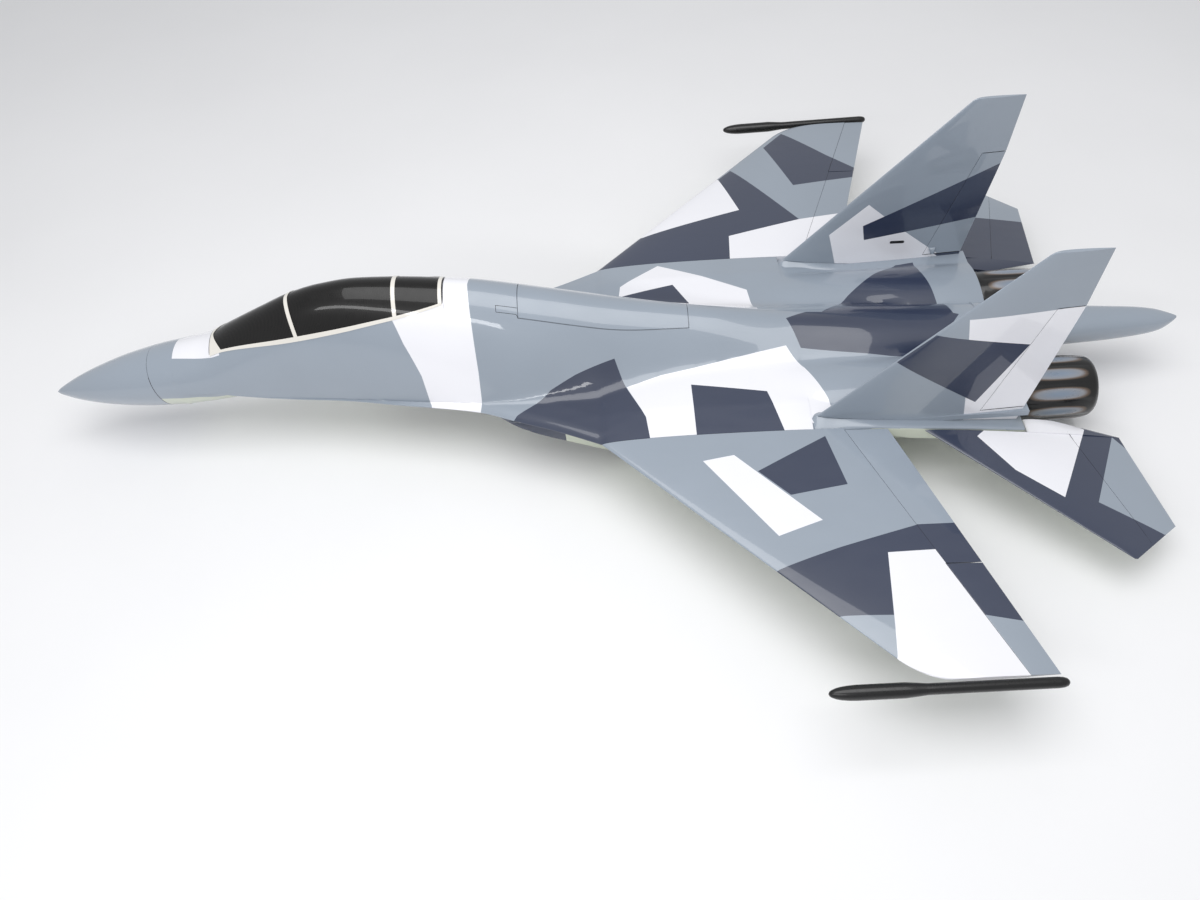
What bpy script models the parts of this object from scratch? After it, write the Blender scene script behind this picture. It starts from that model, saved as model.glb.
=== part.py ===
"""Twin-engine radio-controlled jet with swept wings, twin fins and retractable gear.

Metres, nose towards -X, left wing towards -Y, up is +Z. The model rests on the flat
bellies of its two nacelles, at z = 0. X is zero at mid-length. Stations along the
fuselage are written as S, from a datum 7 mm aft of the nose tip: X = S - MIDDLE.
"""
import math

import bmesh
import bpy
from mathutils import Vector

# ---------------------------------------------------------------- driving dimensions
NOSE_TIP = -0.007
TAIL_TIP = 2.397
MIDDLE = (NOSE_TIP + TAIL_TIP) / 2
GAP = 0.0003
SIDES = ((-1, "left"), (1, "right"))

# Fuselage: smooth curves through (distance from nose, value) knots.
ROUND_END = 0.30
CONE_RADIUS = ((NOSE_TIP, 0.0), (0.0, 0.0055), (0.013, 0.0119), (0.043, 0.0241), (0.083, 0.0368),
               (0.133, 0.0492), (0.183, 0.0587), (0.243, 0.0665), (0.30, 0.0710))
EDGE_Z = ((NOSE_TIP, 0.134), (0.10, 0.1475), (0.20, 0.160), (0.31, 0.1705), (0.36, 0.170),
          (0.43, 0.159), (0.50, 0.150), (0.57, 0.146), (1.6, 0.146))
HALF_WIDTH = ((0.30, 0.071), (0.40, 0.0745), (0.50, 0.080), (0.64, 0.095), (0.77, 0.120),
              (0.94, 0.155), (1.02, 0.188), (1.104, 0.222), (1.188, 0.262))
TOP_Z = ((0.30, 0.242), (0.335, 0.2495), (0.365, 0.257), (0.395, 0.270), (0.43, 0.288), (0.50, 0.3215),
         (0.58, 0.356), (0.64, 0.3715), (0.71, 0.379), (0.78, 0.375), (0.83, 0.3695), (0.888, 0.3615),
         (0.947, 0.3525), (1.042, 0.3285), (1.11, 0.3105), (1.20, 0.2865), (1.30, 0.2625), (1.402, 0.2415),
         (1.60, 0.205), (1.712, 0.195), (2.00, 0.176), (2.253, 0.161), (2.31, 0.157), (2.35, 0.151),
         (2.397, 0.137))
BOTTOM_Z = ((0.30, 0.100), (0.35, 0.101), (0.43, 0.102), (0.50, 0.098), (0.60, 0.089), (0.70, 0.085),
            (0.95, 0.080), (1.15, 0.100), (1.30, 0.118))
HUMP_WIDTH = ((0.30, 0.071), (0.40, 0.0745), (0.55, 0.082), (0.70, 0.100), (0.80, 0.115),
              (0.95, 0.135), (1.10, 0.155), (1.20, 0.165), (1.40, 0.155), (1.60, 0.130))
HUMP_POWER = ((0.40, 0.5), (0.55, 0.5), (0.80, 0.7), (1.00, 1.1), (1.20, 2.0), (1.40, 2.9))
BELLY_WIDTH = ((0.30, 0.071), (0.36, 0.063), (0.43, 0.048), (0.55, 0.052), (0.70, 0.080), (0.95, 0.084),
               (1.09, 0.076), (1.60, 0.070))
SILL_Z = ((0.385, 0.2480), (0.42, 0.2610), (0.46, 0.2710), (0.55, 0.2875), (0.66, 0.3085),
          (0.75, 0.3240), (0.82, 0.3335), (0.893, 0.3430))
CONE_END = 0.25
FORWARD_END = 0.98
CENTRE_END = 1.60
CANOPY_START = 0.389
CANOPY_END = 0.893
CANOPY_STATIONS = (0.390, 0.405, 0.43, 0.47, 0.52, 0.575, 0.63, 0.69, 0.75, 0.81, 0.86, 0.891)
PANES = (((0.3955, 0.418), (0.571, 0.585)), ((0.579, 0.593), (0.793, 0.793)),
         ((0.801, 0.801), (0.884, 0.884)))
HATCH_STATIONS = (1.0377, 1.09, 1.14, 1.188, 1.215, 1.26, 1.32, 1.3763)
HATCH_START = 1.037
HATCH_END = 1.377
HATCH_WIDTH = ((1.037, 0.052), (1.19, 0.053), (1.377, 0.0375))
HATCH_RECESS = 0.0043
HATCH_THICKNESS = 0.0023
GLASS_THICKNESS = 0.0025
EDGE_THICKNESS = 0.0008
DECK_THICKNESS = 0.0205
CROWN = 0.010

# Wing: leading edge, trailing edge and hinge line as straight lines over the half-span.
WING_Z = 0.146
WING_ROOT_Y = 0.2645
WING_TIP_Y = 0.7942
WING_LE = (1.188, 0.262, 0.951)
WING_TE = (1.7405, 0.262, 0.302)
WING_HINGE = (1.6575, 0.262, 0.3713)
WING_ROOT_THICKNESS = 0.025
WING_TIP_THICKNESS = 0.0095
TIP_ROUND = 0.040
FLAP_Y = (0.2675, 0.578)
AILERON_Y = (0.582, 0.787)
HINGE_CLEARANCE = 0.0008
RAIL_Y = 0.807
RAIL_PROFILE = ((1.535, 0.0), (1.540, 0.006), (1.555, 0.0105), (1.580, 0.0125), (1.655, 0.0125),
                (1.690, 0.0090), (1.892, 0.0090), (1.906, 0.0065), (1.910, 0.0))

# Tail.
FIN_Y = 0.237
FIN_ROOT = (1.610, 0.1640)
FIN_ROOT_SLOPE = -0.120
FIN_LE_SLOPE = 0.9537
FIN_TIP_Z = 0.531
FIN_ROUND = 0.006
FIN_TE = ((0.116, 2.003), (0.403, 2.048), (0.531, 2.057))
FIN_THICKNESS = (0.016, 0.007)
RUDDER_Z = (0.155, 0.405)
RUDDER_HINGE = (1.9265, 0.155, 0.2950)
RUDDER_CLEARANCE = 0.0035
BOOM_Y = 0.2355
BOOM_HALF_WIDTH = 0.0285
BOOM_END = 2.014
BOOM_BOTTOM = ((1.603, 0.1275), (1.705, 0.1262), (1.80, 0.105), (2.00, 0.088), (2.014, 0.089))
STAB_OUTLINE_Y = (0.2305, 0.2679, 0.2681, 0.2750, 0.3800, 0.4800, 0.5200, 0.5540)
STAB_ROOT_LE = (1.815, 0.268, 1.083)
STAB_ROOT_TE = (2.204, 0.273, 0.1256)
STAB_TIP_TE = (2.230, 0.480, -1.355)
STAB_ROOT_CORNER = (2.083, 0.230)
STAB_NOTCH = (2.020, 0.268)
STAB_Z = (0.135, 1.813, -0.155)
STAB_THICKNESS = 0.014
STAB_PIVOT = 1.990
SHAFT_RADIUS = 0.0040
SHAFT_BORE = 0.0043

# Engines.
NACELLE_Y = 0.137
ENGINE_Z = 0.089
NACELLE_START = 1.015
NACELLE_END = 2.020
NACELLE_RAKE = 2.2
RAKE_END = 1.40
NACELLE_STEP = 1.6015
NACELLE_TOP = ((1.6016, 0.1560), (1.75, 0.1640), (1.90, 0.1625), (2.02, 0.1570))
NACELLE_BOTTOM = ((1.015, 0.010), (1.06, -0.002), (1.75, -0.002), (1.90, 0.013), (2.02, 0.021))
NACELLE_HALF = ((1.015, 0.053), (1.13, 0.055), (1.30, 0.058), (1.60, 0.061), (2.02, 0.068))
NACELLE_POWER = ((1.015, 5.0), (1.60, 3.6), (1.75, 3.0), (1.90, 2.3), (2.02, 2.0))
DUCT_TOP = ((1.015, 0.1215), (1.30, 0.1195), (1.58, 0.1195), (1.604, 0.1205), (1.64, 0.1465),
            (1.95, 0.151), (2.02, 0.1535))
DUCT_BOTTOM = ((1.015, 0.0140), (1.08, 0.0065), (1.30, 0.0060), (1.58, 0.0100), (1.64, 0.0315),
               (1.95, 0.027), (2.02, 0.0245))
DUCT_HALF = ((1.015, 0.0500), (1.13, 0.0515), (1.30, 0.0530), (1.58, 0.0560), (1.64, 0.0575),
             (1.95, 0.062), (2.02, 0.0645))
DUCT_POWER = ((1.015, 5.0), (1.35, 4.0), (1.58, 2.4), (1.64, 2.0))
FAN_START = 1.655
FAN_END = 1.745
FAN_OUTER = 0.0570
FAN_INNER = 0.0535
ROTOR_TIP = 0.0515
BLADES = 7
TUBE_START = 1.7453
NOZZLE_PROFILE = ((2.0000, 0.0585), (2.0300, 0.0640), (2.0700, 0.0665), (2.1250, 0.0657),
                  (2.1600, 0.0628), (2.1750, 0.0597), (2.1790, 0.0570), (2.1760, 0.0550),
                  (2.1300, 0.0590), (2.0600, 0.0590), (2.0000, 0.0512))

# Landing gear, stowed: each leg lies forward of its pivot.
NOSE_PIVOT = (0.930, 0.0, 0.1150)
NOSE_LEG = 0.170
NOSE_WHEEL = 0.028
NOSE_BAY = ((0.715, -0.030, 0.050), (0.975, 0.030, 0.150))
MAIN_PIVOT = (1.580, 0.2185, 0.0880)
MAIN_LEG = 0.135
MAIN_WHEEL = 0.036
MAIN_WHEEL_Y = 0.2400
BAY_OUTER = ((1.370, 0.2005, 0.0520), (1.660, 0.2620, 0.1195))
BAY_INNER = ((1.398, 0.2060, 0.0400), (1.640, 0.2580, 0.1260))
STRUT_RADIUS = 0.0060
AXLE_RADIUS = 0.0020

# Equipment.
COCKPIT = ((0.500, -0.036, 0.200), (0.800, 0.036, 0.400))
EQUIPMENT_BAY = ((1.060, -0.033, 0.165), (1.360, 0.033, 0.400))
SPAR_S = 1.460
SPAR_RADIUS = 0.0080
SPAR_HALF = 0.440


# ---------------------------------------------------------------- curves and sections
def along(knots, position):
    """Value at a position on a smooth curve through the knots, with no overshoot."""
    if position <= knots[0][0]:
        return knots[0][1]
    if position >= knots[-1][0]:
        return knots[-1][1]
    steps = [b[0] - a[0] for a, b in zip(knots, knots[1:])]
    slopes = [(b[1] - a[1]) / h for a, b, h in zip(knots, knots[1:], steps)]
    tangents = [slopes[0]]
    for before, after in zip(slopes, slopes[1:]):
        same_way = before * after > 0
        tangents.append(2 * before * after / (before + after) if same_way else 0.0)
    tangents.append(slopes[-1])
    k = next(i for i in range(len(steps)) if position <= knots[i + 1][0])
    t = (position - knots[k][0]) / steps[k]
    rise = knots[k + 1][1] - knots[k][1]
    blend = t * t * (3 - 2 * t)
    bend = steps[k] * (tangents[k] * t * (1 - t) ** 2 - tangents[k + 1] * t * t * (1 - t))
    return knots[k][1] + rise * blend + bend


def line(spec, y):
    """Station of a straight edge given as (station, y, slope)."""
    return spec[0] + (y - spec[1]) * spec[2]


def airfoil(u, thickness):
    """Half-thickness at a fraction of the chord: round nose, thin tail."""
    u = min(max(u, 0.0), 1.0)
    return 0.5 * thickness * math.sin(math.pi * u ** 0.6) ** 0.8 + 0.0004 * u


def wing_thickness(y):
    """Greatest thickness of the wing at a distance from the middle."""
    return WING_ROOT_THICKNESS + (WING_TIP_THICKNESS - WING_ROOT_THICKNESS) * (y - 0.262) / 0.532


def cone_radius(s):
    """Radius of the pointed nose."""
    return along(CONE_RADIUS, s)


def half_width(s):
    """Half-width of the fuselage out to its sharp side edge, strakes included."""
    return cone_radius(s) if s < ROUND_END else along(HALF_WIDTH, s)


def edge_half(s):
    """Half-thickness of the side edge, which meets the wing root behind the strake."""
    root_chord = WING_TE[0] - WING_LE[0]
    u = (s - WING_LE[0]) / root_chord
    return max(EDGE_THICKNESS, airfoil(u, WING_ROOT_THICKNESS) if u > 0 else 0.0)


def top_z(s, y):
    """Upper skin: a rounded hump on a thin strake."""
    edge = along(EDGE_Z, s)
    width = half_width(s)
    if s < ROUND_END:
        return edge + max(EDGE_THICKNESS, width * math.sqrt(max(0.0, 1 - (y / width) ** 2)))
    plate = edge_half(s) + min(CROWN, 0.15 * max(0.0, width - abs(y)))
    fullness = max(0.0, 1 - (y / along(HUMP_WIDTH, s)) ** 2)
    hump = (along(TOP_Z, s) - edge) * fullness ** along(HUMP_POWER, s)
    reach = 0.35 * hump + 1e-9
    join = max(reach - abs(hump - plate), 0.0) / reach
    return edge + max(hump, plate) + join * join * reach / 4


def bottom_z(s, y):
    """Lower skin: a rounded belly under a thin strake."""
    edge = along(EDGE_Z, s)
    width = half_width(s)
    if s < ROUND_END:
        return edge - max(EDGE_THICKNESS, width * math.sqrt(max(0.0, 1 - (y / width) ** 2)))
    plate = min(DECK_THICKNESS, edge_half(s) + 0.34 * max(0.0, width - abs(y)))
    fullness = max(0.0, 1 - (y / along(BELLY_WIDTH, s)) ** 2)
    return edge - max(plate, (edge - along(BOTTOM_Z, s)) * math.sqrt(fullness))


def sill_y(s):
    """Half-width of the canopy at its sill."""
    edge = along(EDGE_Z, s)
    share = (along(SILL_Z, s) - edge) / (along(TOP_Z, s) - edge)
    fullness = min(1.0, share ** (1 / along(HUMP_POWER, s)))
    return along(HUMP_WIDTH, s) * math.sqrt(1 - fullness)


def in_canopy(s):
    return CANOPY_START - 0.001 < s < CANOPY_END + 0.001


def in_hatch(s):
    return HATCH_START - 0.0001 < s < HATCH_END + 0.0001


def break_y(s):
    """Half-width of the cover that is cut out of the upper skin."""
    if in_canopy(s):
        return sill_y(s)
    return min(along(HATCH_WIDTH, s), 0.6 * half_width(s))


def spread(start, end, count):
    """Points from start to end, closer together near end."""
    return [start + (end - start) * math.sin(math.pi / 2 * k / count) for k in range(count + 1)]


def fuselage_ring(s, side_count=6, middle_count=6, bottom_count=5):
    """One closed cross-section of the fuselage, with the covers left out."""
    width = half_width(s)
    middle = break_y(s)
    sides = [middle] + spread(middle + 2 * GAP, width, side_count)
    centre = [middle - 2 * middle * k / middle_count for k in range(1, middle_count)]
    across = sides[::-1] + centre + [-y for y in sides]
    ring = []
    for y in across:
        z = top_z(s, y)
        if in_canopy(s):
            z = min(z, along(SILL_Z, s) - GAP)
        elif in_hatch(s) and abs(y) <= middle + 1e-6:
            z -= HATCH_RECESS
        ring.append((s, y, z))
    belly = min(along(BELLY_WIDTH, s), 0.999 * width)
    under = spread(0.0, belly, bottom_count)
    outer = [belly + (width - belly) * k / 3 for k in range(1, 4)]
    below = under + outer
    ring += [(s, -y, bottom_z(s, y)) for y in below[::-1]]
    ring += [(s, y, bottom_z(s, y)) for y in below[1:]]
    return ring


def cover_ring(s, limit, outer, inner, count=12, lip=0.0, floor=0.0):
    """Cross-section of a thin shell that follows the upper skin out to a half-width, plus a lip."""
    across = [limit * math.sin(math.pi / 2 * (2 * k / count - 1)) for k in range(count + 1)]
    if lip:
        across = [-limit - lip] + across + [limit + lip]
    ring = []
    for y in across:
        ring.append((s, *offset_point(s, y, outer)))
    for y in across[::-1]:
        across_point, z = offset_point(s, y, inner)
        ring.append((s, across_point, max(z, floor)))
    return ring


def offset_point(s, y, distance):
    """Point of the upper skin moved out along the normal of its cross-section."""
    step = 0.0005
    slope = (top_z(s, y + step) - top_z(s, y - step)) / (2 * step)
    size = math.hypot(1, slope)
    return y - slope / size * distance, top_z(s, y) + distance / size


def oval(s, y_mid, half, top, bottom, power, count, rake=0.0, floor=-1.0):
    """A rounded-box cross-section; the rake leans it back towards its foot."""
    ring = []
    for k in range(count):
        angle = 2 * math.pi * (k + 0.5) / count
        y = math.copysign(abs(math.cos(angle)) ** (2 / power), math.cos(angle))
        z = math.copysign(abs(math.sin(angle)) ** (2 / power), math.sin(angle))
        height = max(floor, (top + bottom) / 2 + z * (top - bottom) / 2)
        ring.append((s + rake * (top - height), y_mid + half * y, height))
    return ring


# ---------------------------------------------------------------- objects
def paint(name, colour, roughness=0.35, metallic=0.0):
    material = bpy.data.materials.new(name)
    material.use_nodes = True
    shader = material.node_tree.nodes["Principled BSDF"]
    shader.inputs["Base Color"].default_value = (*colour, 1.0)
    shader.inputs["Roughness"].default_value = roughness
    shader.inputs["Metallic"].default_value = metallic
    return material


def add_mesh(name, points, faces, material, origin=(0, 0, 0)):
    """Object from points given as (distance from nose, y, z), facing out, with its own origin."""
    pivot = Vector((origin[0] - MIDDLE, origin[1], origin[2])) if any(origin) else Vector()
    mesh = bpy.data.meshes.new(name)
    mesh.from_pydata([Vector((s - MIDDLE, y, z)) - pivot for s, y, z in points], [], faces)
    work = bmesh.new()
    work.from_mesh(mesh)
    bmesh.ops.remove_doubles(work, verts=work.verts, dist=1e-6)
    bmesh.ops.recalc_face_normals(work, faces=work.faces)
    work.to_mesh(mesh)
    work.free()
    mesh.materials.append(material)
    mesh.shade_smooth()
    mesh.set_sharp_from_angle(angle=math.radians(32))
    obj = bpy.data.objects.new(name, mesh)
    obj.location = pivot
    bpy.context.scene.collection.objects.link(obj)
    return obj


def loft(name, rings, material, origin=(0, 0, 0), endless=False):
    """Skin equal rings in order; the ends are capped, or joined to each other if endless."""
    count = len(rings[0])
    points = [p for ring in rings for p in ring]
    faces = []
    rows = len(rings) if endless else len(rings) - 1
    for r in range(rows):
        here = r * count
        there = (r + 1) % len(rings) * count
        for k in range(count):
            n = (k + 1) % count
            faces.append((here + k, here + n, there + n, there + k))
    if not endless:
        faces.append(tuple(range(count)))
        faces.append(tuple(range(len(points) - count, len(points))))
    return add_mesh(name, points, faces, material, origin)


def turned(name, profile, centre, axis, steps, material, origin=None, closed=False):
    """Solid of revolution about X or Y; the profile is (distance along the axis, radius)."""
    points = []
    rows = []
    for distance, radius in profile:
        count = steps if radius > 1e-6 else 1
        row = []
        for k in range(count):
            angle = 2 * math.pi * k / steps
            first = radius * math.cos(angle)
            second = radius * math.sin(angle)
            offset = (distance, first, second) if axis == "X" else (first, distance, second)
            row.append(len(points))
            points.append(tuple(c + o for c, o in zip(centre, offset)))
        rows.append(row)
    pairs = zip(rows, rows[1:] + rows[:1]) if closed else zip(rows, rows[1:])
    faces = []
    for row, after in pairs:
        for k in range(steps):
            n = (k + 1) % steps
            if len(row) == 1:
                faces.append((row[0], after[n], after[k]))
            elif len(after) == 1:
                faces.append((row[k], row[n], after[0]))
            else:
                faces.append((row[k], row[n], after[n], after[k]))
    return add_mesh(name, points, faces, material, origin or (0, 0, 0))


def box(name, low, high, material, origin=(0, 0, 0)):
    corners = [(s, y, z) for s in (low[0], high[0]) for y in (low[1], high[1]) for z in (low[2], high[2])]
    faces = ((0, 1, 3, 2), (4, 6, 7, 5), (0, 4, 5, 1), (2, 3, 7, 6), (0, 2, 6, 4), (1, 5, 7, 3))
    return add_mesh(name, corners, faces, material, origin)


def rod(name, start, end, radius, material, steps=12, origin=(0, 0, 0)):
    """Round bar between two points."""
    a = Vector(start)
    b = Vector(end)
    direction = (b - a).normalized()
    side = direction.orthogonal().normalized()
    up = direction.cross(side)
    rings = []
    for centre in (a, b):
        ring = []
        for k in range(steps):
            angle = 2 * math.pi * k / steps
            ring.append(tuple(centre + radius * (math.cos(angle) * side + math.sin(angle) * up)))
        rings.append(ring)
    return loft(name, rings, material, origin)


def boolean(target, tool, operation):
    """Cut the tool out of the target, or join it on, and hide the tool."""
    tool.hide_render = True
    tool.display_type = "WIRE"
    modifier = target.modifiers.new(tool.name, "BOOLEAN")
    modifier.operation = operation
    modifier.object = tool
    modifier.solver = "EXACT"


def cut(target, tool):
    boolean(target, tool, "DIFFERENCE")


def join(target, tool):
    boolean(target, tool, "UNION")


def grow(corners, amount):
    """Box corners moved in (negative) or out (positive) on every side."""
    low, high = corners
    return tuple(v - amount for v in low), tuple(v + amount for v in high)


def mirrored(corners, side):
    """Box corners given for the right side, moved to the wanted side."""
    (s0, y0, z0), (s1, y1, z1) = corners
    ys = sorted((side * y0, side * y1))
    return (s0, ys[0], z0), (s1, ys[1], z1)


GREY = paint("body_grey", (0.40, 0.44, 0.50))
LIGHT = paint("pale_grey", (0.62, 0.64, 0.60))
WHITE = paint("white", (0.85, 0.86, 0.88))
BLACK = paint("black_plastic", (0.02, 0.02, 0.022), 0.45)
GLASS = paint("smoked_glass", (0.02, 0.02, 0.022), 0.05)
METAL = paint("burnt_metal", (0.30, 0.30, 0.31), 0.35, 0.9)
STEEL = paint("steel", (0.60, 0.60, 0.62), 0.30, 1.0)
ALUMINIUM = paint("aluminium", (0.75, 0.76, 0.78), 0.35, 1.0)
RUBBER = paint("rubber", (0.03, 0.03, 0.03), 0.85)
CARBON = paint("carbon", (0.04, 0.04, 0.045), 0.35)
WRAP = paint("battery_wrap", (0.05, 0.10, 0.35), 0.4)


# ---------------------------------------------------------------- fuselage
def build_fuselage():
    """Nose cone, forward and centre fuselage, rear spine and tail sting."""
    profile_rings = []
    for s in (-0.0064, -0.003, 0.003, 0.02, 0.05, 0.09, 0.14, 0.19, 0.225, CONE_END):
        r = cone_radius(s)
        z = along(EDGE_Z, s)
        profile_rings.append(oval(s, 0.0, r, z + r, z - r, 2, 24))
    loft("nose_cone", profile_rings, GREY)

    forward_stations = (CONE_END + GAP, 0.29, 0.33, 0.365, CANOPY_START - 0.0015, CANOPY_START,
                        *CANOPY_STATIONS, CANOPY_END - 0.0003, CANOPY_END + 0.0012, 0.93, FORWARD_END - GAP)
    forward = loft("forward_fuselage", [fuselage_ring(s) for s in forward_stations], GREY)
    cut(forward, box("cockpit_cutter", *COCKPIT, GREY))
    cut(forward, box("nose_bay_cutter", *NOSE_BAY, GREY))

    centre_stations = (FORWARD_END, 1.01, HATCH_START - 0.0006, HATCH_START, *HATCH_STATIONS, HATCH_END,
                       HATCH_END + 0.0006, 1.44, 1.52, CENTRE_END - GAP)
    centre = loft("centre_fuselage", [fuselage_ring(s) for s in centre_stations], GREY)
    cut(centre, box("bay_cutter", *EQUIPMENT_BAY, GREY))
    cut(centre, rod("spar_cutter", (SPAR_S, -0.3, WING_Z), (SPAR_S, 0.3, WING_Z),
                    SPAR_RADIUS + GAP, GREY, steps=16))

    half = ((1.60, 0.072), (1.75, 0.067), (2.02, 0.062), (2.10, 0.052), (2.253, 0.037), (2.327, 0.029),
            (2.36, 0.0225), (2.397, 0.004))
    bottom = ((1.60, 0.118), (1.90, 0.116), (2.05, 0.108), (2.15, 0.101), (2.253, 0.099), (2.327, 0.1035),
              (2.36, 0.1095), (2.397, 0.131))
    split = 2.043

    def spine_ring(s):
        return oval(s, 0.0, along(half, s), along(TOP_Z, s), along(bottom, s), 2.3, 20)

    spine_stations = (CENTRE_END + GAP, 1.65, 1.72, 1.80, 1.90, 1.98, split - GAP)
    loft("rear_spine", [spine_ring(s) for s in spine_stations], GREY)
    sting_stations = (split, 2.09, 2.15, 2.21, 2.26, 2.31, 2.34, 2.36, 2.38, 2.397)
    loft("tail_sting", [spine_ring(s) for s in sting_stations], GREY)


def pane_edge(stations, direction):
    """Bowed front or rear edge of a pane, given its stations at the middle and at the sills."""
    middle, outer = stations
    reach = sill_y(outer) - 0.001
    shares = [direction * k / 4 for k in range(-3, 4)]
    return [(middle + (outer - middle) * abs(v) ** 1.5, reach * v, 0.2) for v in shares]


def build_canopy():
    """Tinted glazing, its painted frame, and the cockpit under it."""
    pivot = (CANOPY_END, 0.0, along(TOP_Z, CANOPY_END))
    glass_rings = [cover_ring(s, sill_y(s), 0.0, -GLASS_THICKNESS, floor=along(SILL_Z, s))
                   for s in CANOPY_STATIONS]
    loft("canopy_glass", glass_rings, GLASS, pivot)
    lip = 0.0025
    frame_rings = [cover_ring(s, sill_y(s), 0.0018, 0.0005, lip=lip) for s in CANOPY_STATIONS]
    frame = loft("canopy_frame", frame_rings, WHITE, pivot)
    for number, (front, rear) in enumerate(PANES):
        rim = [front[1] + (rear[1] - front[1]) * k / 6 for k in range(7)]
        lower = [(s, sill_y(s) - 0.001, 0.2) for s in rim]
        lower += pane_edge(rear, -1)
        lower += [(s, 0.001 - sill_y(s), 0.2) for s in rim[::-1]]
        lower += pane_edge(front, 1)
        upper = [(s, y, 0.45) for s, y, _ in lower]
        cut(frame, loft(f"pane_cutter_{number}", [lower, upper], GLASS))

    low, high = grow(COCKPIT, -GAP)
    tub = box("cockpit_tub", low, (high[0], high[1], 0.268), BLACK)
    wall = 0.002
    cut(tub, box("tub_cutter", (low[0] + wall, low[1] + wall, low[2] + wall),
                 (high[0] - wall, high[1] - wall, 0.3), BLACK))
    floor = low[2] + wall - GAP
    seat_outline = ((0.640, 0.0), (0.640, 0.030), (0.685, 0.034), (0.715, 0.085), (0.732, 0.085),
                    (0.732, 0.0))
    rings = [[(s, y, floor + z) for s, z in seat_outline] for y in (-0.020, 0.020)]
    join(tub, loft("seat", rings, BLACK))
    panel_outline = ((0.540, 0.0), (0.540, 0.060), (0.560, 0.066), (0.566, 0.062), (0.560, 0.0))
    rings = [[(s, y, floor + z) for s, z in panel_outline] for y in (-0.026, 0.026)]
    join(tub, loft("instrument_panel", rings, BLACK))


def build_equipment():
    """Removable spine hatch and what it covers, and the spar that joins the wings."""
    hatch_rings = [cover_ring(s, along(HATCH_WIDTH, s) - 0.0008, 0.0, -HATCH_THICKNESS, 8)
                   for s in HATCH_STATIONS]
    loft("equipment_hatch", hatch_rings, GREY)

    floor = EQUIPMENT_BAY[0][2] + GAP
    box("battery_pack", (1.070, -0.030, floor), (1.350, 0.030, floor + 0.046), WRAP)
    shelf = floor + 0.046 + GAP
    box("receiver", (1.075, -0.017, shelf), (1.130, 0.017, shelf + 0.014), BLACK)
    box("speed_controller", (1.140, -0.026, shelf), (1.195, 0.026, shelf + 0.016), ALUMINIUM)
    rod("wing_spar_tube", (SPAR_S, -SPAR_HALF, WING_Z), (SPAR_S, SPAR_HALF, WING_Z), SPAR_RADIUS,
        CARBON, 16)


# ---------------------------------------------------------------- wings and tail
def section(le, end, te, thickness, place):
    """Aerofoil outline from the leading edge to a cut-off station, top then bottom."""
    chord = te - le
    shares = (0.0, 0.015, 0.06, 0.15, 0.30, 0.50, 0.75, 1.0)
    stations = [le + (end - le) * v for v in shares]
    halves = [airfoil((s - le) / chord, thickness) for s in stations]
    top = [place(s, h) for s, h in zip(stations, halves)]
    bottom = [place(s, -h) for s, h in zip(stations[1:], halves[1:])]
    return top + bottom[::-1]


def control_section(hinge, te, radius, place, arc=6):
    """Round nose about the hinge, tapering straight to the trailing edge."""
    points = []
    for k in range(arc + 1):
        angle = math.pi / 2 + math.pi * k / arc
        points.append(place(hinge + radius * math.cos(angle), radius * math.sin(angle)))
    points.append(place(te, -0.0005))
    points.append(place(te, 0.0005))
    return points


def wing_hinge_radius(y):
    """Half-thickness of the wing at the hinge line."""
    le = line(WING_LE, y)
    te = line(WING_TE, y)
    return airfoil((line(WING_HINGE, y) - le) / (te - le), wing_thickness(y))


def build_wing(side, label):
    def flat(y):
        return lambda s, h: (s, side * y, WING_Z + h)

    rings = []
    round_start = WING_TIP_Y - TIP_ROUND
    for y in (WING_ROOT_Y, 0.40, 0.58, round_start, 0.775, 0.787, WING_TIP_Y - 0.001, WING_TIP_Y):
        inset = max(0.0, y - round_start) / TIP_ROUND
        le = line(WING_LE, y) + TIP_ROUND * (1 - math.sqrt(max(0.0, 1 - inset * inset)))
        end = line(WING_HINGE, y) - wing_hinge_radius(y) - HINGE_CLEARANCE
        rings.append(section(le, end, line(WING_TE, y), wing_thickness(y), flat(y)))
    wing = loft(f"wing_{label}", rings, GREY)
    cut(wing, rod(f"spar_socket_{label}", (SPAR_S, side * 0.2, WING_Z),
                  (SPAR_S, side * (SPAR_HALF + 0.001), WING_Z), SPAR_RADIUS + GAP, GREY, 16))
    for name, s, y in (("flap", 1.56, 0.400), ("aileron", 1.70, 0.660)):
        pocket = mirrored(((s, y, WING_Z - 0.02), (s + 0.032, y + 0.028, WING_Z + 0.0025)), side)
        cut(wing, box(f"{name}_pocket_{label}", *pocket, GREY))
        low, high = grow(pocket, -GAP)
        box(f"{name}_servo_{label}", (low[0], low[1], WING_Z - 0.0045), high, BLACK)

    for name, (start, end) in (("flap", FLAP_Y), ("aileron", AILERON_Y)):
        middle = (start + end) / 2
        pivot = (line(WING_HINGE, middle), side * middle, WING_Z)
        rings = [control_section(line(WING_HINGE, y), line(WING_TE, y), wing_hinge_radius(y), flat(y))
                 for y in (start, end)]
        loft(f"{name}_{label}", rings, GREY, pivot)
    turned(f"tip_rail_{label}", RAIL_PROFILE, (0.0, side * RAIL_Y, WING_Z), "X", 14, BLACK)


def fin_te(z):
    low, middle, high = FIN_TE
    a, b = (low, middle) if z < middle[0] else (middle, high)
    return a[1] + (z - a[0]) * (b[1] - a[1]) / (b[0] - a[0])


def fin_le(z):
    return FIN_ROOT[0] + (z - FIN_ROOT[1]) * FIN_LE_SLOPE


def fin_thickness(z):
    share = (z - FIN_ROOT[1]) / (FIN_TIP_Z - FIN_ROOT[1])
    return FIN_THICKNESS[0] + share * (FIN_THICKNESS[1] - FIN_THICKNESS[0])


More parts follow.
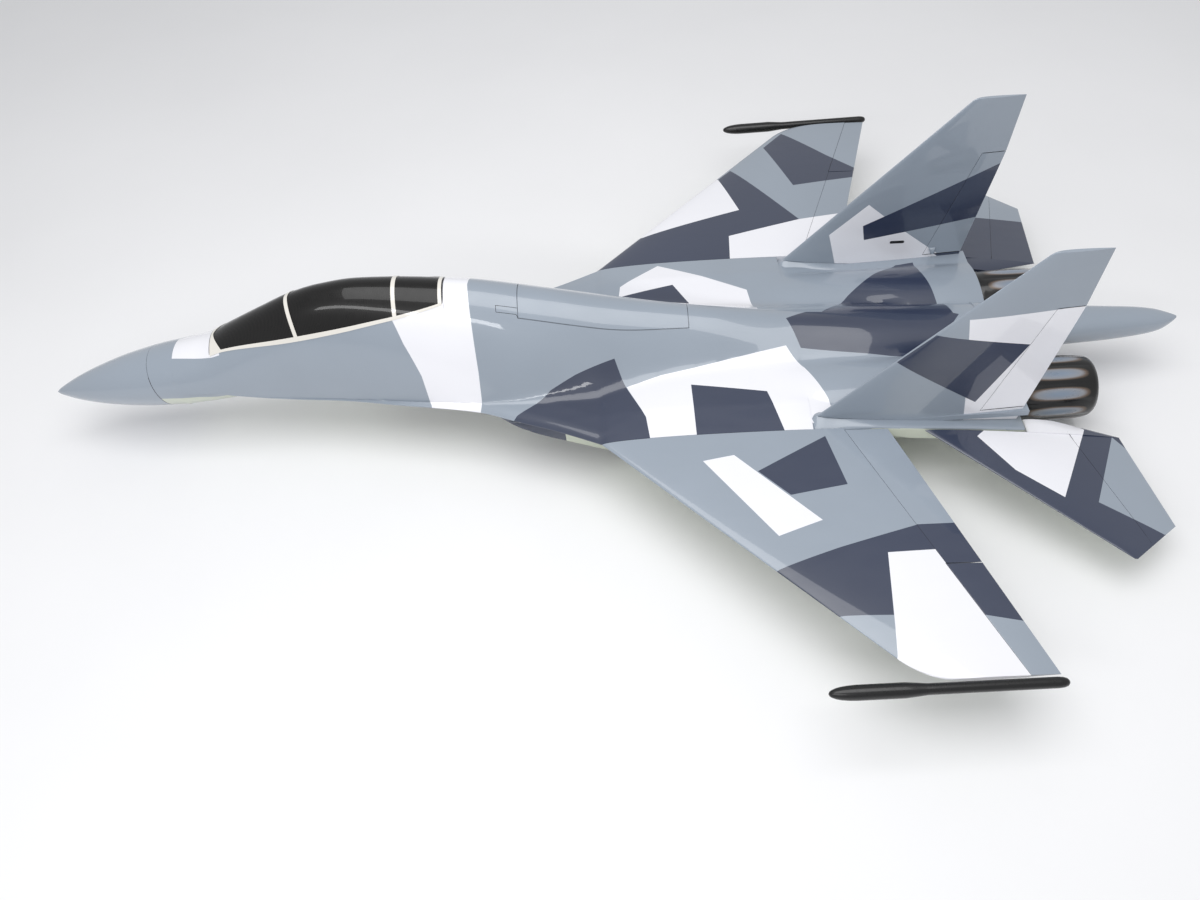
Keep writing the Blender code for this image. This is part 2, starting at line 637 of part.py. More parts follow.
def rudder_radius(z):
    le = fin_le(z)
    return airfoil((line(RUDDER_HINGE, z) - le) / (fin_te(z) - le), fin_thickness(z))


def fin_root_z(s):
    """Sloping line where the fin stands on its boom."""
    return FIN_ROOT[1] + (s - FIN_ROOT[0]) * FIN_ROOT_SLOPE


def build_fin(side, label):
    def upright(z):
        return lambda s, h: (s, side * FIN_Y + h, z)

    def on_boom(s, h):
        return s, side * FIN_Y + h, fin_root_z(s)

    root_te = FIN_TE[0][1]
    rings = [section(FIN_ROOT[0], root_te, root_te, FIN_THICKNESS[0], on_boom)]
    for z in (0.22, 0.30, 0.40, 0.47, FIN_TIP_Z - FIN_ROUND, 0.529, FIN_TIP_Z):
        inset = max(0.0, z - (FIN_TIP_Z - FIN_ROUND)) / FIN_ROUND
        le = fin_le(z) + FIN_ROUND * (1 - math.sqrt(max(0.0, 1 - inset * inset)))
        rings.append(section(le, fin_te(z), fin_te(z), fin_thickness(z), upright(z)))
    fin = loft(f"fin_{label}", rings, GREY)
    slot = []
    for z in (RUDDER_Z[0] - RUDDER_CLEARANCE, RUDDER_Z[1] + RUDDER_CLEARANCE):
        wall = line(RUDDER_HINGE, z) - rudder_radius(z) - HINGE_CLEARANCE
        slot.append((wall, z))
    outline = [slot[0], slot[1], (2.10, slot[1][1]), (2.10, slot[0][1])]
    rings = [[(s, side * FIN_Y + h, z) for s, z in outline] for h in (-0.03, 0.03)]
    cut(fin, loft(f"rudder_cutter_{label}", rings, GREY))

    middle = (RUDDER_Z[0] + RUDDER_Z[1]) / 2
    pivot = (line(RUDDER_HINGE, middle), side * FIN_Y, middle)
    rings = [control_section(line(RUDDER_HINGE, z), fin_te(z), rudder_radius(z), upright(z))
             for z in RUDDER_Z]
    loft(f"rudder_{label}", rings, GREY, pivot)

    stations = (CENTRE_END + GAP, 1.61, 1.705, 1.75, 1.85, 1.95, 2.008, BOOM_END)
    rings = []
    for s in stations:
        top = fin_root_z(max(s, FIN_ROOT[0])) - 2 * GAP
        shrink = 0.85 if s == BOOM_END else 1.0
        rings.append(oval(s, side * BOOM_Y, BOOM_HALF_WIDTH * shrink, top, along(BOOM_BOTTOM, s), 4, 16))
    boom = loft(f"tail_boom_{label}", rings, GREY)
    shaft_z = line(STAB_Z, STAB_PIVOT)
    cut(boom, rod(f"shaft_bore_{label}", (STAB_PIVOT, side * 0.214, shaft_z),
                  (STAB_PIVOT, side * 0.30, shaft_z), SHAFT_BORE, GREY))


def stab_edges(y):
    """Leading and trailing stations of the stabilator at a distance from the middle."""
    share = (y - STAB_ROOT_CORNER[1]) / (STAB_NOTCH[1] - STAB_ROOT_CORNER[1])
    if y < STAB_NOTCH[1]:
        te = STAB_ROOT_CORNER[0] + 0.002 + share * (line(STAB_ROOT_TE, STAB_NOTCH[1]) - STAB_ROOT_CORNER[0])
        return STAB_NOTCH[0], te
    te = line(STAB_ROOT_TE, y) if y < STAB_TIP_TE[1] else line(STAB_TIP_TE, y)
    return line(STAB_ROOT_LE, y), te


def build_stabilator(side, label):
    rings = []
    for y in STAB_OUTLINE_Y:
        le, te = stab_edges(y)
        thickness = STAB_THICKNESS * (1 - 0.6 * max(0.0, y - STAB_NOTCH[1]) / 0.29)
        thickness = min(thickness, 0.12 * (te - le))

        def tilted(s, h, y=y):
            return s, side * y, line(STAB_Z, s) + h

        rings.append(section(le, te, te, thickness, tilted))
    pivot = (STAB_PIVOT, side * 0.30, line(STAB_Z, STAB_PIVOT))
    stabilator = loft(f"stabilator_{label}", rings, GREY, pivot)
    shaft_end = (STAB_PIVOT, side * 0.2150, pivot[2])
    join(stabilator, rod(f"shaft_{label}", shaft_end, pivot, SHAFT_RADIUS, STEEL))


# ---------------------------------------------------------------- engines
def build_engine(side, label):
    y = side * NACELLE_Y
    roof = WING_Z - DECK_THICKNESS - GAP

    def outer_ring(s):
        top = roof if s < NACELLE_STEP else along(NACELLE_TOP, s)
        rake = NACELLE_RAKE * max(0.0, (RAKE_END - s) / (RAKE_END - NACELLE_START))
        return oval(s, y, along(NACELLE_HALF, s), top, along(NACELLE_BOTTOM, s),
                    along(NACELLE_POWER, s), 24, rake, 0.0)

    def duct_ring(s):
        rake = NACELLE_RAKE * max(0.0, (RAKE_END - s) / (RAKE_END - NACELLE_START))
        return oval(s, y, along(DUCT_HALF, s), along(DUCT_TOP, s), along(DUCT_BOTTOM, s),
                    along(DUCT_POWER, s), 24, rake)

    outer_stations = (NACELLE_START, 1.06, 1.13, 1.22, 1.31, RAKE_END, 1.52, 1.601, 1.6025, 1.66, 1.75, 1.83,
                      1.90, 1.96, NACELLE_END)
    inner_stations = (NACELLE_END, 1.95, 1.80, 1.64, 1.604, 1.58, 1.48, RAKE_END, 1.31, 1.22, 1.13, 1.06,
                      NACELLE_START)
    outer = [outer_ring(s) for s in outer_stations]
    inner = [duct_ring(s) for s in inner_stations]
    loft(f"nacelle_{label}", outer + inner, LIGHT, endless=True)

    centre = (0.0, y, ENGINE_Z)
    housing = ((FAN_START, FAN_OUTER), (FAN_END, FAN_OUTER), (FAN_END, FAN_INNER),
               (FAN_START, FAN_INNER))
    turned(f"fan_housing_{label}", housing, centre, "X", 24, BLACK, closed=True)
    motor_profile = ((1.6905, 0.0), (1.6905, 0.0180), (1.735, 0.0180), (1.775, 0.0080),
                     (1.780, 0.0))
    motor = turned(f"fan_motor_{label}", motor_profile, centre, "X", 16, ALUMINIUM)
    reach = FAN_INNER - GAP
    vanes = (((1.705, -0.0012, -reach), (1.735, 0.0012, reach)),
             ((1.705, -reach, -0.0012), (1.735, reach, 0.0012)))
    for number, (low, high) in enumerate(vanes):
        trim = 0.0004
        vane_low = (low[0], y + low[1] + trim * number, ENGINE_Z + low[2] + trim)
        vane_high = (high[0], y + high[1] - trim * number, ENGINE_Z + high[2] - trim)
        join(motor, box(f"vane_{number}_{label}", vane_low, vane_high, ALUMINIUM))

    hub_profile = ((1.655, 0.0), (1.660, 0.0090), (1.668, 0.0150), (1.678, 0.0180),
                   (1.690, 0.0180), (1.690, 0.0))
    rotor = turned(f"fan_rotor_{label}", hub_profile, centre, "X", 18, BLACK, (1.680, y, ENGINE_Z))
    for blade in range(BLADES):
        angle = 2 * math.pi * blade / BLADES
        out = Vector((0, math.cos(angle), math.sin(angle)))
        across = Vector((0, -math.sin(angle), math.cos(angle)))
        rings = []
        for radius, lean in ((0.0150, 0.006), (ROTOR_TIP, 0.010)):
            base = Vector((1.680, y, ENGINE_Z)) + out * radius
            chord = Vector((0.008, 0, 0)) + across * lean
            thick = across * 0.0012 - Vector((0.0006, 0, 0))
            corners = ((-1, -1), (1, -1), (1, 1), (-1, 1))
            rings.append([tuple(base + a * chord + b * thick) for a, b in corners])
        join(rotor, loft(f"blade_{blade}_{label}", rings, BLACK))

    tube = ((TUBE_START, 0.0560), (1.90, 0.0535), (2.0005, 0.0508), (2.0005, 0.0500),
            (1.90, 0.0525), (TUBE_START, 0.0550))
    turned(f"thrust_tube_{label}", tube, centre, "X", 24, STEEL, closed=True)
    turned(f"nozzle_{label}", NOZZLE_PROFILE, centre, "X", 24, METAL, closed=True)


# ---------------------------------------------------------------- landing gear
def build_wheel(name, centre, radius, half_width_):
    """Tyre on a hub, about an axle across the model."""
    rim = 0.62 * radius
    tyre = []
    for k in range(8):
        angle = 2 * math.pi * (k + 0.5) / 8
        middle = (radius + rim) / 2
        tyre.append((half_width_ * math.cos(angle), middle + (radius - rim) / 2 * math.sin(angle)))
    turned(f"{name}_tyre", tyre, centre, "Y", 16, RUBBER, centre, closed=True)
    bore = 0.0023
    lip = 0.85 * half_width_
    edge = rim - GAP
    hub = ((-lip, bore), (-lip, 0.45 * rim), (-0.4 * lip, 0.75 * rim), (-0.5 * lip, edge),
           (0.5 * lip, edge), (0.4 * lip, 0.75 * rim), (lip, 0.45 * rim), (lip, bore))
    turned(f"{name}_hub", hub, centre, "Y", 16, ALUMINIUM, centre, closed=True)


def build_nose_gear():
    s, _, z = NOSE_PIVOT
    leg = rod("nose_leg", (s, 0, z), (s - 0.105, 0, z), STRUT_RADIUS, STEEL, origin=NOSE_PIVOT)
    join(leg, rod("nose_trunnion", (s, -0.0200, z), (s, 0.0200, z), 0.0070, STEEL))
    start = s - 0.1053
    axle = s - NOSE_LEG
    fork = rod("nose_fork", (start, 0, z), (start - 0.014, 0, z), STRUT_RADIUS, STEEL, origin=(start, 0, z))
    arm = 0.0125
    join(fork, box("fork_bridge", (start - 0.022, -arm - 0.003, z - 0.005),
                   (start - 0.010, arm + 0.003, z + 0.005), STEEL))
    for side, label in SIDES:
        arm_corners = ((axle - 0.006, arm, z - 0.0045), (start - 0.012, arm + 0.0028, z + 0.0045))
        low, high = mirrored(arm_corners, side)
        join(fork, box(f"fork_arm_{label}", low, high, STEEL))
    reach = arm + 0.001
    join(fork, rod("nose_axle", (axle, -reach, z), (axle, reach, z), AXLE_RADIUS, STEEL, 10))
    build_wheel("nose", (axle, 0.0, z), NOSE_WHEEL, 0.0100)
    unit = box("nose_retract_unit", (s + 0.008, -0.026, z - 0.014),
               (s + 0.044, 0.026, z + 0.0345), ALUMINIUM)
    for side, label in SIDES:
        cheek = ((s - 0.010, 0.0203, z - 0.010), (s + 0.010, 0.0258, z + 0.0345))
        low, high = mirrored(cheek, side)
        join(unit, box(f"nose_cheek_{label}", low, high, ALUMINIUM))


def build_main_gear(side, label):
    s, y, z = MAIN_PIVOT
    y = side * y
    wheel_y = side * MAIN_WHEEL_Y
    pivot = (s, y, z)
    axle = s - MAIN_LEG
    leg = rod(f"main_leg_{label}", (s, y, z), (axle, y, z), STRUT_RADIUS, STEEL, origin=pivot)
    join(leg, rod(f"main_trunnion_{label}", (s, side * 0.2115, z), (s, side * 0.2520, z), 0.0070, STEEL))
    axle_end = (axle, wheel_y + side * 0.0125, z)
    join(leg, rod(f"main_axle_{label}", (axle, y, z), axle_end, AXLE_RADIUS, STEEL, 10))
    build_wheel(f"main_{label}", (axle, wheel_y, z), MAIN_WHEEL, 0.0125)
    unit_box = mirrored(((s + 0.0085, 0.2064, 0.0760), (s + 0.0555, 0.2575, 0.1250)), side)
    unit = box(f"main_retract_unit_{label}", *unit_box, ALUMINIUM)
    for number, (inner, outer) in enumerate(((0.2066, 0.2112), (0.2523, 0.2573))):
        cheek = mirrored(((s - 0.010, inner, z - 0.010), (s + 0.012, outer, 0.1245)), side)
        join(unit, box(f"main_cheek_{number}_{label}", *cheek, ALUMINIUM))
    low, high = BAY_OUTER
    roof = WING_Z - DECK_THICKNESS - GAP
    rings = []
    for station, share in ((low[0] - 0.05, 0.2), (low[0], 1.0), (high[0], 1.0), (high[0] + 0.04, 0.2)):
        foot = roof - (roof - low[2]) * share
        corners = ((low[1], roof), (high[1] - 0.002, roof), (high[1] - 0.002, foot + 0.012 * share),
                   (high[1] - 0.012, foot), (low[1], foot))
        rings.append([(station, side * a, b) for a, b in corners])
    bay = loft(f"gear_bay_{label}", rings, LIGHT)
    cut(bay, box(f"bay_opening_{label}", *mirrored(BAY_INNER, side), LIGHT))


def build_all():
    for old in list(bpy.data.objects):
        bpy.data.objects.remove(old, do_unlink=True)
    build_fuselage()
    build_canopy()
    build_equipment()
    build_nose_gear()
    for side, label in SIDES:
        build_wing(side, label)
        build_fin(side, label)
        build_stabilator(side, label)
        build_engine(side, label)
        build_main_gear(side, label)


build_all()
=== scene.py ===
"""Looks for the twin-engine radio-controlled jet.

Fine painted skins, dark glazing, petalled nozzles, wheels and studio light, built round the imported
frame. Metres, nose towards -X, left wing towards -Y. Stations S run back along it, and X is S less
MIDDLE. The curves repeat the ones that shape the solid model, sampled more finely.
"""
import math

import bmesh
import bpy
from mathutils import Matrix, Vector


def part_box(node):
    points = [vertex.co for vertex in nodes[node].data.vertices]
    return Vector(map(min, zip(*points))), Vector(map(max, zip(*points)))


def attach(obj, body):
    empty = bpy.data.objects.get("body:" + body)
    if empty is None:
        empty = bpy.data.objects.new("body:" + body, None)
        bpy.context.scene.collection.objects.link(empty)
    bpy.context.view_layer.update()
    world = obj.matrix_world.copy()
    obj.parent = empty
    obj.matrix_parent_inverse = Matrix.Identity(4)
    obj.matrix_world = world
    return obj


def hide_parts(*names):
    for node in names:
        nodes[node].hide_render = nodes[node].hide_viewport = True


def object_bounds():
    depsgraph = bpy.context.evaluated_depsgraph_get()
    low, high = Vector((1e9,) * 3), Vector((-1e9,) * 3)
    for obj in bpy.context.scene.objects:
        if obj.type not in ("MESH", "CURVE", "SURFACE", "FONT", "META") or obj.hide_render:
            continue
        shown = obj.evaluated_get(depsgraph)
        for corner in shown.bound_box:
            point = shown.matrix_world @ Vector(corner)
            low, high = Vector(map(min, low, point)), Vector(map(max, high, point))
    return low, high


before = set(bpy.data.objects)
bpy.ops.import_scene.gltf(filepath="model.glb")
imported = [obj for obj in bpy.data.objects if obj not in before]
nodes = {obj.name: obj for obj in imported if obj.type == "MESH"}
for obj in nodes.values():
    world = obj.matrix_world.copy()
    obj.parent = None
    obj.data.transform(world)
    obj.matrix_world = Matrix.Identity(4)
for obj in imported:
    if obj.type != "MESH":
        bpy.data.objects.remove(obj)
cad_low, cad_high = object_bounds()

NOSE_TIP = -0.007
TAIL_TIP = 2.397
MIDDLE = (NOSE_TIP + TAIL_TIP) / 2
GAP = 0.0003
SIDES = ((-1, "left"), (1, "right"))
GREY, SLATE, WHITE, PALE, INSIDE = range(5)

# ---------------------------------------------------------------- body curves: (station, value)
ROUND_END = 0.3
CONE_RADIUS = (
    (NOSE_TIP, 0.0), (0.0, 0.0055), (0.013, 0.0119), (0.043, 0.0241), (0.083, 0.0368), (0.133, 0.0492),
    (0.183, 0.0587), (0.243, 0.0665), (0.3, 0.071)
)
EDGE_Z = (
    (NOSE_TIP, 0.134), (0.1, 0.1475), (0.2, 0.16), (0.31, 0.1705), (0.36, 0.17), (0.43, 0.159), (0.5, 0.15),
    (0.57, 0.146), (1.6, 0.146)
)
HALF_WIDTH = (
    (0.3, 0.071), (0.4, 0.0745), (0.5, 0.08), (0.64, 0.095), (0.77, 0.12), (0.94, 0.155), (1.02, 0.188),
    (1.104, 0.222), (1.188, 0.262)
)
TOP_Z = (
    (0.3, 0.242), (0.335, 0.2495), (0.365, 0.257), (0.395, 0.27), (0.43, 0.288), (0.5, 0.3215),
    (0.58, 0.356), (0.64, 0.3715), (0.71, 0.379), (0.78, 0.375), (0.83, 0.3695), (0.888, 0.3615),
    (0.947, 0.3525), (1.042, 0.3285), (1.11, 0.3105), (1.2, 0.2865), (1.3, 0.2625), (1.402, 0.2415),
    (1.6, 0.205), (1.712, 0.195), (2.0, 0.176), (2.253, 0.161), (2.31, 0.157), (2.35, 0.151),
    (2.397, 0.137)
)
BOTTOM_Z = (
    (0.3, 0.1), (0.35, 0.101), (0.43, 0.102), (0.5, 0.098), (0.6, 0.089), (0.7, 0.085), (0.95, 0.08),
    (1.15, 0.1), (1.3, 0.118)
)
HUMP_WIDTH = (
    (0.3, 0.071), (0.4, 0.0745), (0.55, 0.082), (0.7, 0.1), (0.8, 0.115), (0.95, 0.135), (1.1, 0.155),
    (1.2, 0.165), (1.4, 0.155), (1.6, 0.13), (1.75, 0.09), (1.9, 0.068), (2.02, 0.063)
)
HUMP_POWER = (
    (0.4, 0.5), (0.55, 0.5), (0.8, 0.7), (1.0, 1.1), (1.2, 2.0), (1.4, 2.9), (1.6, 2.4), (1.75, 0.9),
    (1.9, 0.55)
)
BELLY_WIDTH = (
    (0.3, 0.071), (0.36, 0.063), (0.43, 0.048), (0.55, 0.052), (0.7, 0.08), (0.95, 0.084), (1.09, 0.076),
    (1.6, 0.07)
)
SILL_Z = (
    (0.385, 0.248), (0.42, 0.261), (0.46, 0.271), (0.55, 0.2875), (0.66, 0.3085), (0.75, 0.324),
    (0.82, 0.3335), (0.893, 0.343)
)
CANOPY = (0.389, 0.893)
PANES = (
    ((0.3955, 0.418), (0.571, 0.585)), ((0.579, 0.593), (0.793, 0.793)), ((0.801, 0.801), (0.884, 0.884))
)
HATCH = (1.037, 1.377)
HATCH_WIDTH = ((1.037, 0.052), (1.19, 0.053), (1.377, 0.0375))
HATCH_RECESS = 0.0043
HATCH_THICKNESS = 0.0023
EDGE_THICKNESS = 0.0008
DECK_THICKNESS = 0.0205
DECK_SLOPE = 0.34
DECK_SKIN = 0.012
CROWN = 0.01
CROWN_SLOPE = 0.15
FILLET = 0.014
FILLET_SHARE = 0.35
CONE_SEAM = 0.2526
SEAM_LEAN = 0.2
SEAM_HALF_WIDTH = 0.0003
SEAM_SHRINK = 0.99
DECK_END = 1.6
SKIN_END = 2.019

# Humps over the engines, and the valley floor between them and the spine.
ENGINE_Y = 0.137
ENGINE_Z = 0.089
ENGINE_CROWN = (
    (1.44, 0.146), (1.5, 0.1605), (1.56, 0.165), (1.66, 0.1675), (1.78, 0.168), (1.9, 0.1655),
    (2.02, 0.159)
)
ENGINE_HALF = ((1.44, 0.052), (1.6, 0.063), (2.02, 0.0695))
VALLEY_SPAN = (1.56, 1.76)
VALLEY_ROUND = 0.004
VALLEY_Z = ((1.5, 0.146), (1.66, 0.144), (1.8, 0.134), (2.02, 0.127))
INNER_DECK = 0.245

# Wing, tail and their control surfaces: (station, y or z, slope).
WING_Z = 0.146
WING_ROOT_Y = 0.2627
WING_TIP_Y = 0.7942
WING_LE = (1.188, 0.262, 0.951)
WING_TE = (1.7405, 0.262, 0.302)
WING_HINGE = (1.6575, 0.262, 0.3713)
WING_ROOT_THICKNESS = 0.025
WING_TIP_THICKNESS = 0.0095
WING_SPAN = 0.532
TIP_ROUND = 0.04

# How far a skin is cut back ahead of a hinge: metres for the flap, else a share of the nose's radius.
FLAP_LIP = 0.0011
AILERON_LIP = 0.4
RUDDER_LIP = 0.43
LIP_CLEARANCE = 0.0006
# Dark lines laid in the joints, and how deep their middle lies under the skin.
LINE_RADIUS = 0.0005
LINE_SINK = 0.0004

# Station and distance from the middle of each servo pocket's front inner corner.
SERVO_POCKETS = (("flap", 1.56, 0.4), ("aileron", 1.7, 0.66))
POCKET_SIZE = (0.032, 0.028)

FLAP_Y = (0.2675, 0.579)
AILERON_Y = (0.581, 0.7934)
RAIL_Y = 0.807
RAIL_PROFILE = (
    (1.535, 0.0), (1.5365, 0.0035), (1.54, 0.006), (1.547, 0.0087), (1.555, 0.0105), (1.567, 0.0119),
    (1.58, 0.0125), (1.655, 0.0125), (1.672, 0.011), (1.69, 0.0092), (1.892, 0.009), (1.9, 0.0083),
    (1.906, 0.0065), (1.909, 0.0035), (1.91, 0.0)
)
FIN_Y = 0.237
FIN_ROOT = (1.61, 0.164)
FIN_ROOT_SLOPE = -0.12
FIN_LE_SLOPE = 0.9537
FIN_TIP_Z = 0.531
FIN_ROUND = 0.006
FIN_TE = ((0.116, 2.003), (0.403, 2.048), (0.531, 2.057))
FIN_THICKNESS = (0.016, 0.007)
RUDDER_Z = (0.1535, 0.4065)
RUDDER_HINGE = (1.9265, 0.155, 0.295)
BOOM_Y = 0.2355
BOOM_HALF_WIDTH = 0.0285
BOOM_END = 2.014
BOOM_BOTTOM = ((1.52, 0.129), (1.603, 0.1275), (1.705, 0.1262), (1.8, 0.105), (2.0, 0.088), (2.014, 0.089))
STAB_ROOT_LE = (1.815, 0.268, 1.083)
STAB_ROOT_TE = (2.204, 0.273, 0.1256)
STAB_TIP_TE = (2.23, 0.48, -1.355)
STAB_ROOT_CORNER = (2.083, 0.23)
STAB_NOTCH = (2.02, 0.268)
STAB_Z = (0.135, 1.813, -0.155)
STAB_THICKNESS = 0.014
STAB_THINNING = 0.6
STAB_SPAN = 0.29
STAB_PIVOT = 1.99

# Engines.
NACELLE = (1.015, 2.02)
NACELLE_RAKE = 2.2
RAKE_END = 1.4
NACELLE_TOP = ((1.6016, 0.1545), (1.75, 0.1625), (1.9, 0.1615), (2.02, 0.157))
NACELLE_BOTTOM = ((1.015, 0.01), (1.06, -0.002), (1.75, -0.002), (1.9, 0.013), (2.02, 0.021))
NACELLE_HALF = ((1.015, 0.053), (1.13, 0.055), (1.3, 0.058), (1.6, 0.061), (2.02, 0.068))
NACELLE_POWER = ((1.015, 5.0), (1.6, 3.6), (1.75, 3.0), (1.9, 2.3), (2.02, 2.0))
DUCT_TOP = (
    (1.015, 0.1215), (1.3, 0.1195), (1.58, 0.1195), (1.604, 0.1205), (1.64, 0.1465), (1.95, 0.151),
    (2.02, 0.1535)
)
DUCT_BOTTOM = (
    (1.015, 0.014), (1.08, 0.0065), (1.3, 0.006), (1.58, 0.01), (1.64, 0.0315), (1.95, 0.027),
    (2.02, 0.0245)
)
DUCT_HALF = (
    (1.015, 0.05), (1.13, 0.0515), (1.3, 0.053), (1.58, 0.056), (1.64, 0.0575), (1.95, 0.062),
    (2.02, 0.0645)
)
DUCT_POWER = ((1.015, 5.0), (1.35, 4.0), (1.58, 2.4), (1.64, 2.0))
NOZZLE_OUTER = (
    (2.0, 0.059), (2.03, 0.0645), (2.07, 0.067), (2.125, 0.0662), (2.16, 0.0636), (2.173, 0.061),
    (2.179, 0.057)
)
NOZZLE_INNER = ((2.176, 0.055), (2.13, 0.059), (2.06, 0.059), (2.0, 0.0512))
PETAL_SPAN = (2.03, 2.17)
PETALS = 10

# Openings that the solid model has in its shells: (low corner, high corner).
COCKPIT = ((0.5, -0.036, 0.2), (0.8, 0.036, 0.4))
EQUIPMENT_BAY = ((1.06, -0.033, 0.165), (1.36, 0.033, 0.4))
NOSE_BAY = ((0.715, -0.03, 0.05), (0.975, 0.03, 0.15))

# ---------------------------------------------------------------- splinter pattern
# Seen from above: (station, y). Later patches lie over earlier ones.
BODY_PATCHES = (
    (WHITE, ((0.842, -0.17), (0.839, -0.129), (0.83, -0.107), (0.806, -0.083), (0.79, -0.059),
        (0.887, -0.04), (0.887, 0.04), (0.79, 0.059), (0.806, 0.083), (0.83, 0.107), (0.839, 0.129),
        (0.842, 0.17), (0.941, 0.17), (0.947, 0.111), (0.945, 0.058), (0.941, 0.0), (0.945, -0.058),
        (0.947, -0.111), (0.941, -0.17))),
    (WHITE, ((0.3, 0.029), (0.3, -0.029), (0.347, -0.038), (0.392, -0.046), (0.412, -0.047), (0.412, 0.047),
        (0.392, 0.046), (0.347, 0.038))),
    (SLATE, ((1.0, -0.205), (1.018, -0.174), (1.088, -0.131), (1.141, -0.113), (1.222, -0.09),
        (1.241, -0.129), (1.278, -0.213), (1.284, -0.27), (1.1, -0.27))),
    (WHITE, ((1.243, -0.131), (1.313, -0.109), (1.574, -0.058), (1.606, -0.106), (1.641, -0.19),
        (1.651, -0.27), (1.284, -0.27), (1.278, -0.213))),
    (SLATE, ((1.373, -0.137), (1.522, -0.166), (1.546, -0.27), (1.374, -0.27))),
    (WHITE, ((1.24, 0.18), (1.328, 0.25), (1.518, 0.141), (1.526, 0.05), (1.526, 0.03), (1.37, 0.03),
        (1.26, 0.085), (1.236, 0.146))),
    (SLATE, ((1.236, 0.146), (1.357, 0.172), (1.388, 0.108), (1.388, 0.06), (1.25, 0.06))),
    (SLATE, ((1.58, -0.003), (1.626, 0.022), (1.659, 0.022), (1.73, 0.1), (1.8, 0.165), (1.86, 0.211),
        (1.9, 0.217), (1.901, 0.168), (1.912, 0.114), (1.93, 0.008), (1.941, 0.004), (1.87, -0.09),
        (1.604, -0.062))),
)
LEFT_WING_PATCHES = (
    (SLATE, ((1.619, -0.281), (1.64, -0.4), (1.533, -0.419), (1.48, -0.36))),
    (WHITE, ((1.38, -0.328), (1.44, -0.318), (1.581, -0.478), (1.499, -0.507))),
    (SLATE, ((1.46, -0.588), (1.49, -0.574), (1.601, -0.538), (1.744, -0.497), (1.81, -0.48),
        (1.81, -0.553), (1.681, -0.553), (1.665, -0.676), (1.584, -0.671), (1.54, -0.671))),
    (WHITE, ((1.681, -0.553), (1.81, -0.549), (1.9, -0.8), (1.64, -0.8), (1.656, -0.748))),
)
LEFT_FLAP_PATCHES = (
    (SLATE, ((1.7, -0.497), (1.86, -0.494), (1.91, -0.706), (1.869, -0.696), (1.812, -0.683),
        (1.75, -0.67))),
)
RIGHT_WING_PATCHES = (
    (SLATE, ((1.682, 0.763), (1.628, 0.704), (1.679, 0.531), (1.835, 0.556), (1.86, 0.575), (1.78, 0.652))),
    (WHITE, ((1.27, 0.375), (1.3, 0.37), (1.536, 0.443), (1.499, 0.581), (1.47, 0.6), (1.3, 0.45))),
    (SLATE, ((1.533, 0.615), (1.499, 0.581), (1.536, 0.443), (1.3, 0.37), (1.28, 0.37), (1.18, 0.26),
        (1.494, 0.255), (1.501, 0.345), (1.673, 0.396))),
    (WHITE, ((1.501, 0.345), (1.673, 0.396), (1.758, 0.411), (1.86, 0.425), (1.86, 0.255), (1.494, 0.255))),
)
LEFT_STAB_PATCHES = (
    (WHITE, ((1.913, -0.283), (1.985, -0.22), (2.11, -0.22), (2.138, -0.252), (2.04, -0.424),
        (1.965, -0.363))),
    (GREY, ((2.189, -0.268), (2.3, -0.44), (2.26, -0.48), (2.201, -0.5), (2.101, -0.433))),
)
RIGHT_STAB_PATCHES = (
    (GREY, ((1.9, 0.432), (2.3, 0.424), (2.3, 0.6), (1.9, 0.6))),
)
# Seen from the side: (station, z).
NOSE_UNDERSIDE_PATCHES = (
    (GREY, ((-0.02, 0.04), (0.276, 0.048), (0.254, 0.158), (0.3, 0.158), (0.335, 0.153), (0.37, 0.142),
        (0.43, 0.134), (0.55, 0.147), (0.55, 0.162), (0.4, 0.175), (-0.02, 0.175))),
)
NOSE_SIDE_PATCHES = (
    (PALE, ((0.276, 0.048), (0.254, 0.158), (0.3, 0.158), (0.335, 0.153), (0.37, 0.142), (0.43, 0.134),
        (0.43, 0.048))),
)
NACELLE_PATCHES = (
    (SLATE, ((0.95, -0.02), (1.112, -0.02), (1.112, 0.16), (0.95, 0.16))),
)
FIN_OUTBOARD_PATCHES = (
    (WHITE, ((1.851, 0.395), (2.07, 0.409), (2.03, 0.1), (1.899, 0.11), (1.888, 0.184))),
    (SLATE, ((1.801, 0.361), (1.974, 0.324), (1.908, 0.179), (1.741, 0.299))),
)
FIN_INBOARD_PATCHES = (
    (WHITE, ((1.784, 0.301), (1.707, 0.228), (1.735, 0.12), (2.0, 0.105), (2.0, 0.118), (1.878, 0.219))),
    (SLATE, ((2.06, 0.388), (2.043, 0.378), (1.778, 0.247), (1.785, 0.209), (2.022, 0.245), (2.06, 0.25))),
    (SLATE, ((1.95, 0.1525), (2.012, 0.1525), (1.999, 0.11))),
)


# ---------------------------------------------------------------- curves and sections
def along(knots, position):
    """Value at a position on a smooth curve through the knots, with no overshoot."""
    if position <= knots[0][0]:
        return knots[0][1]
    if position >= knots[-1][0]:
        return knots[-1][1]
    steps = [b[0] - a[0] for a, b in zip(knots, knots[1:])]
    slopes = [(b[1] - a[1]) / h for a, b, h in zip(knots, knots[1:], steps)]
    tangents = [slopes[0]]
    for before, after in zip(slopes, slopes[1:]):
        same_way = before * after > 0
        tangents.append(2 * before * after / (before + after) if same_way else 0.0)
    tangents.append(slopes[-1])
    k = next(i for i in range(len(steps)) if position <= knots[i + 1][0])
    t = (position - knots[k][0]) / steps[k]
    rise = knots[k + 1][1] - knots[k][1]
    blend = t * t * (3 - 2 * t)
    bend = steps[k] * (tangents[k] * t * (1 - t) ** 2 - tangents[k + 1] * t * t * (1 - t))
    return knots[k][1] + rise * blend + bend


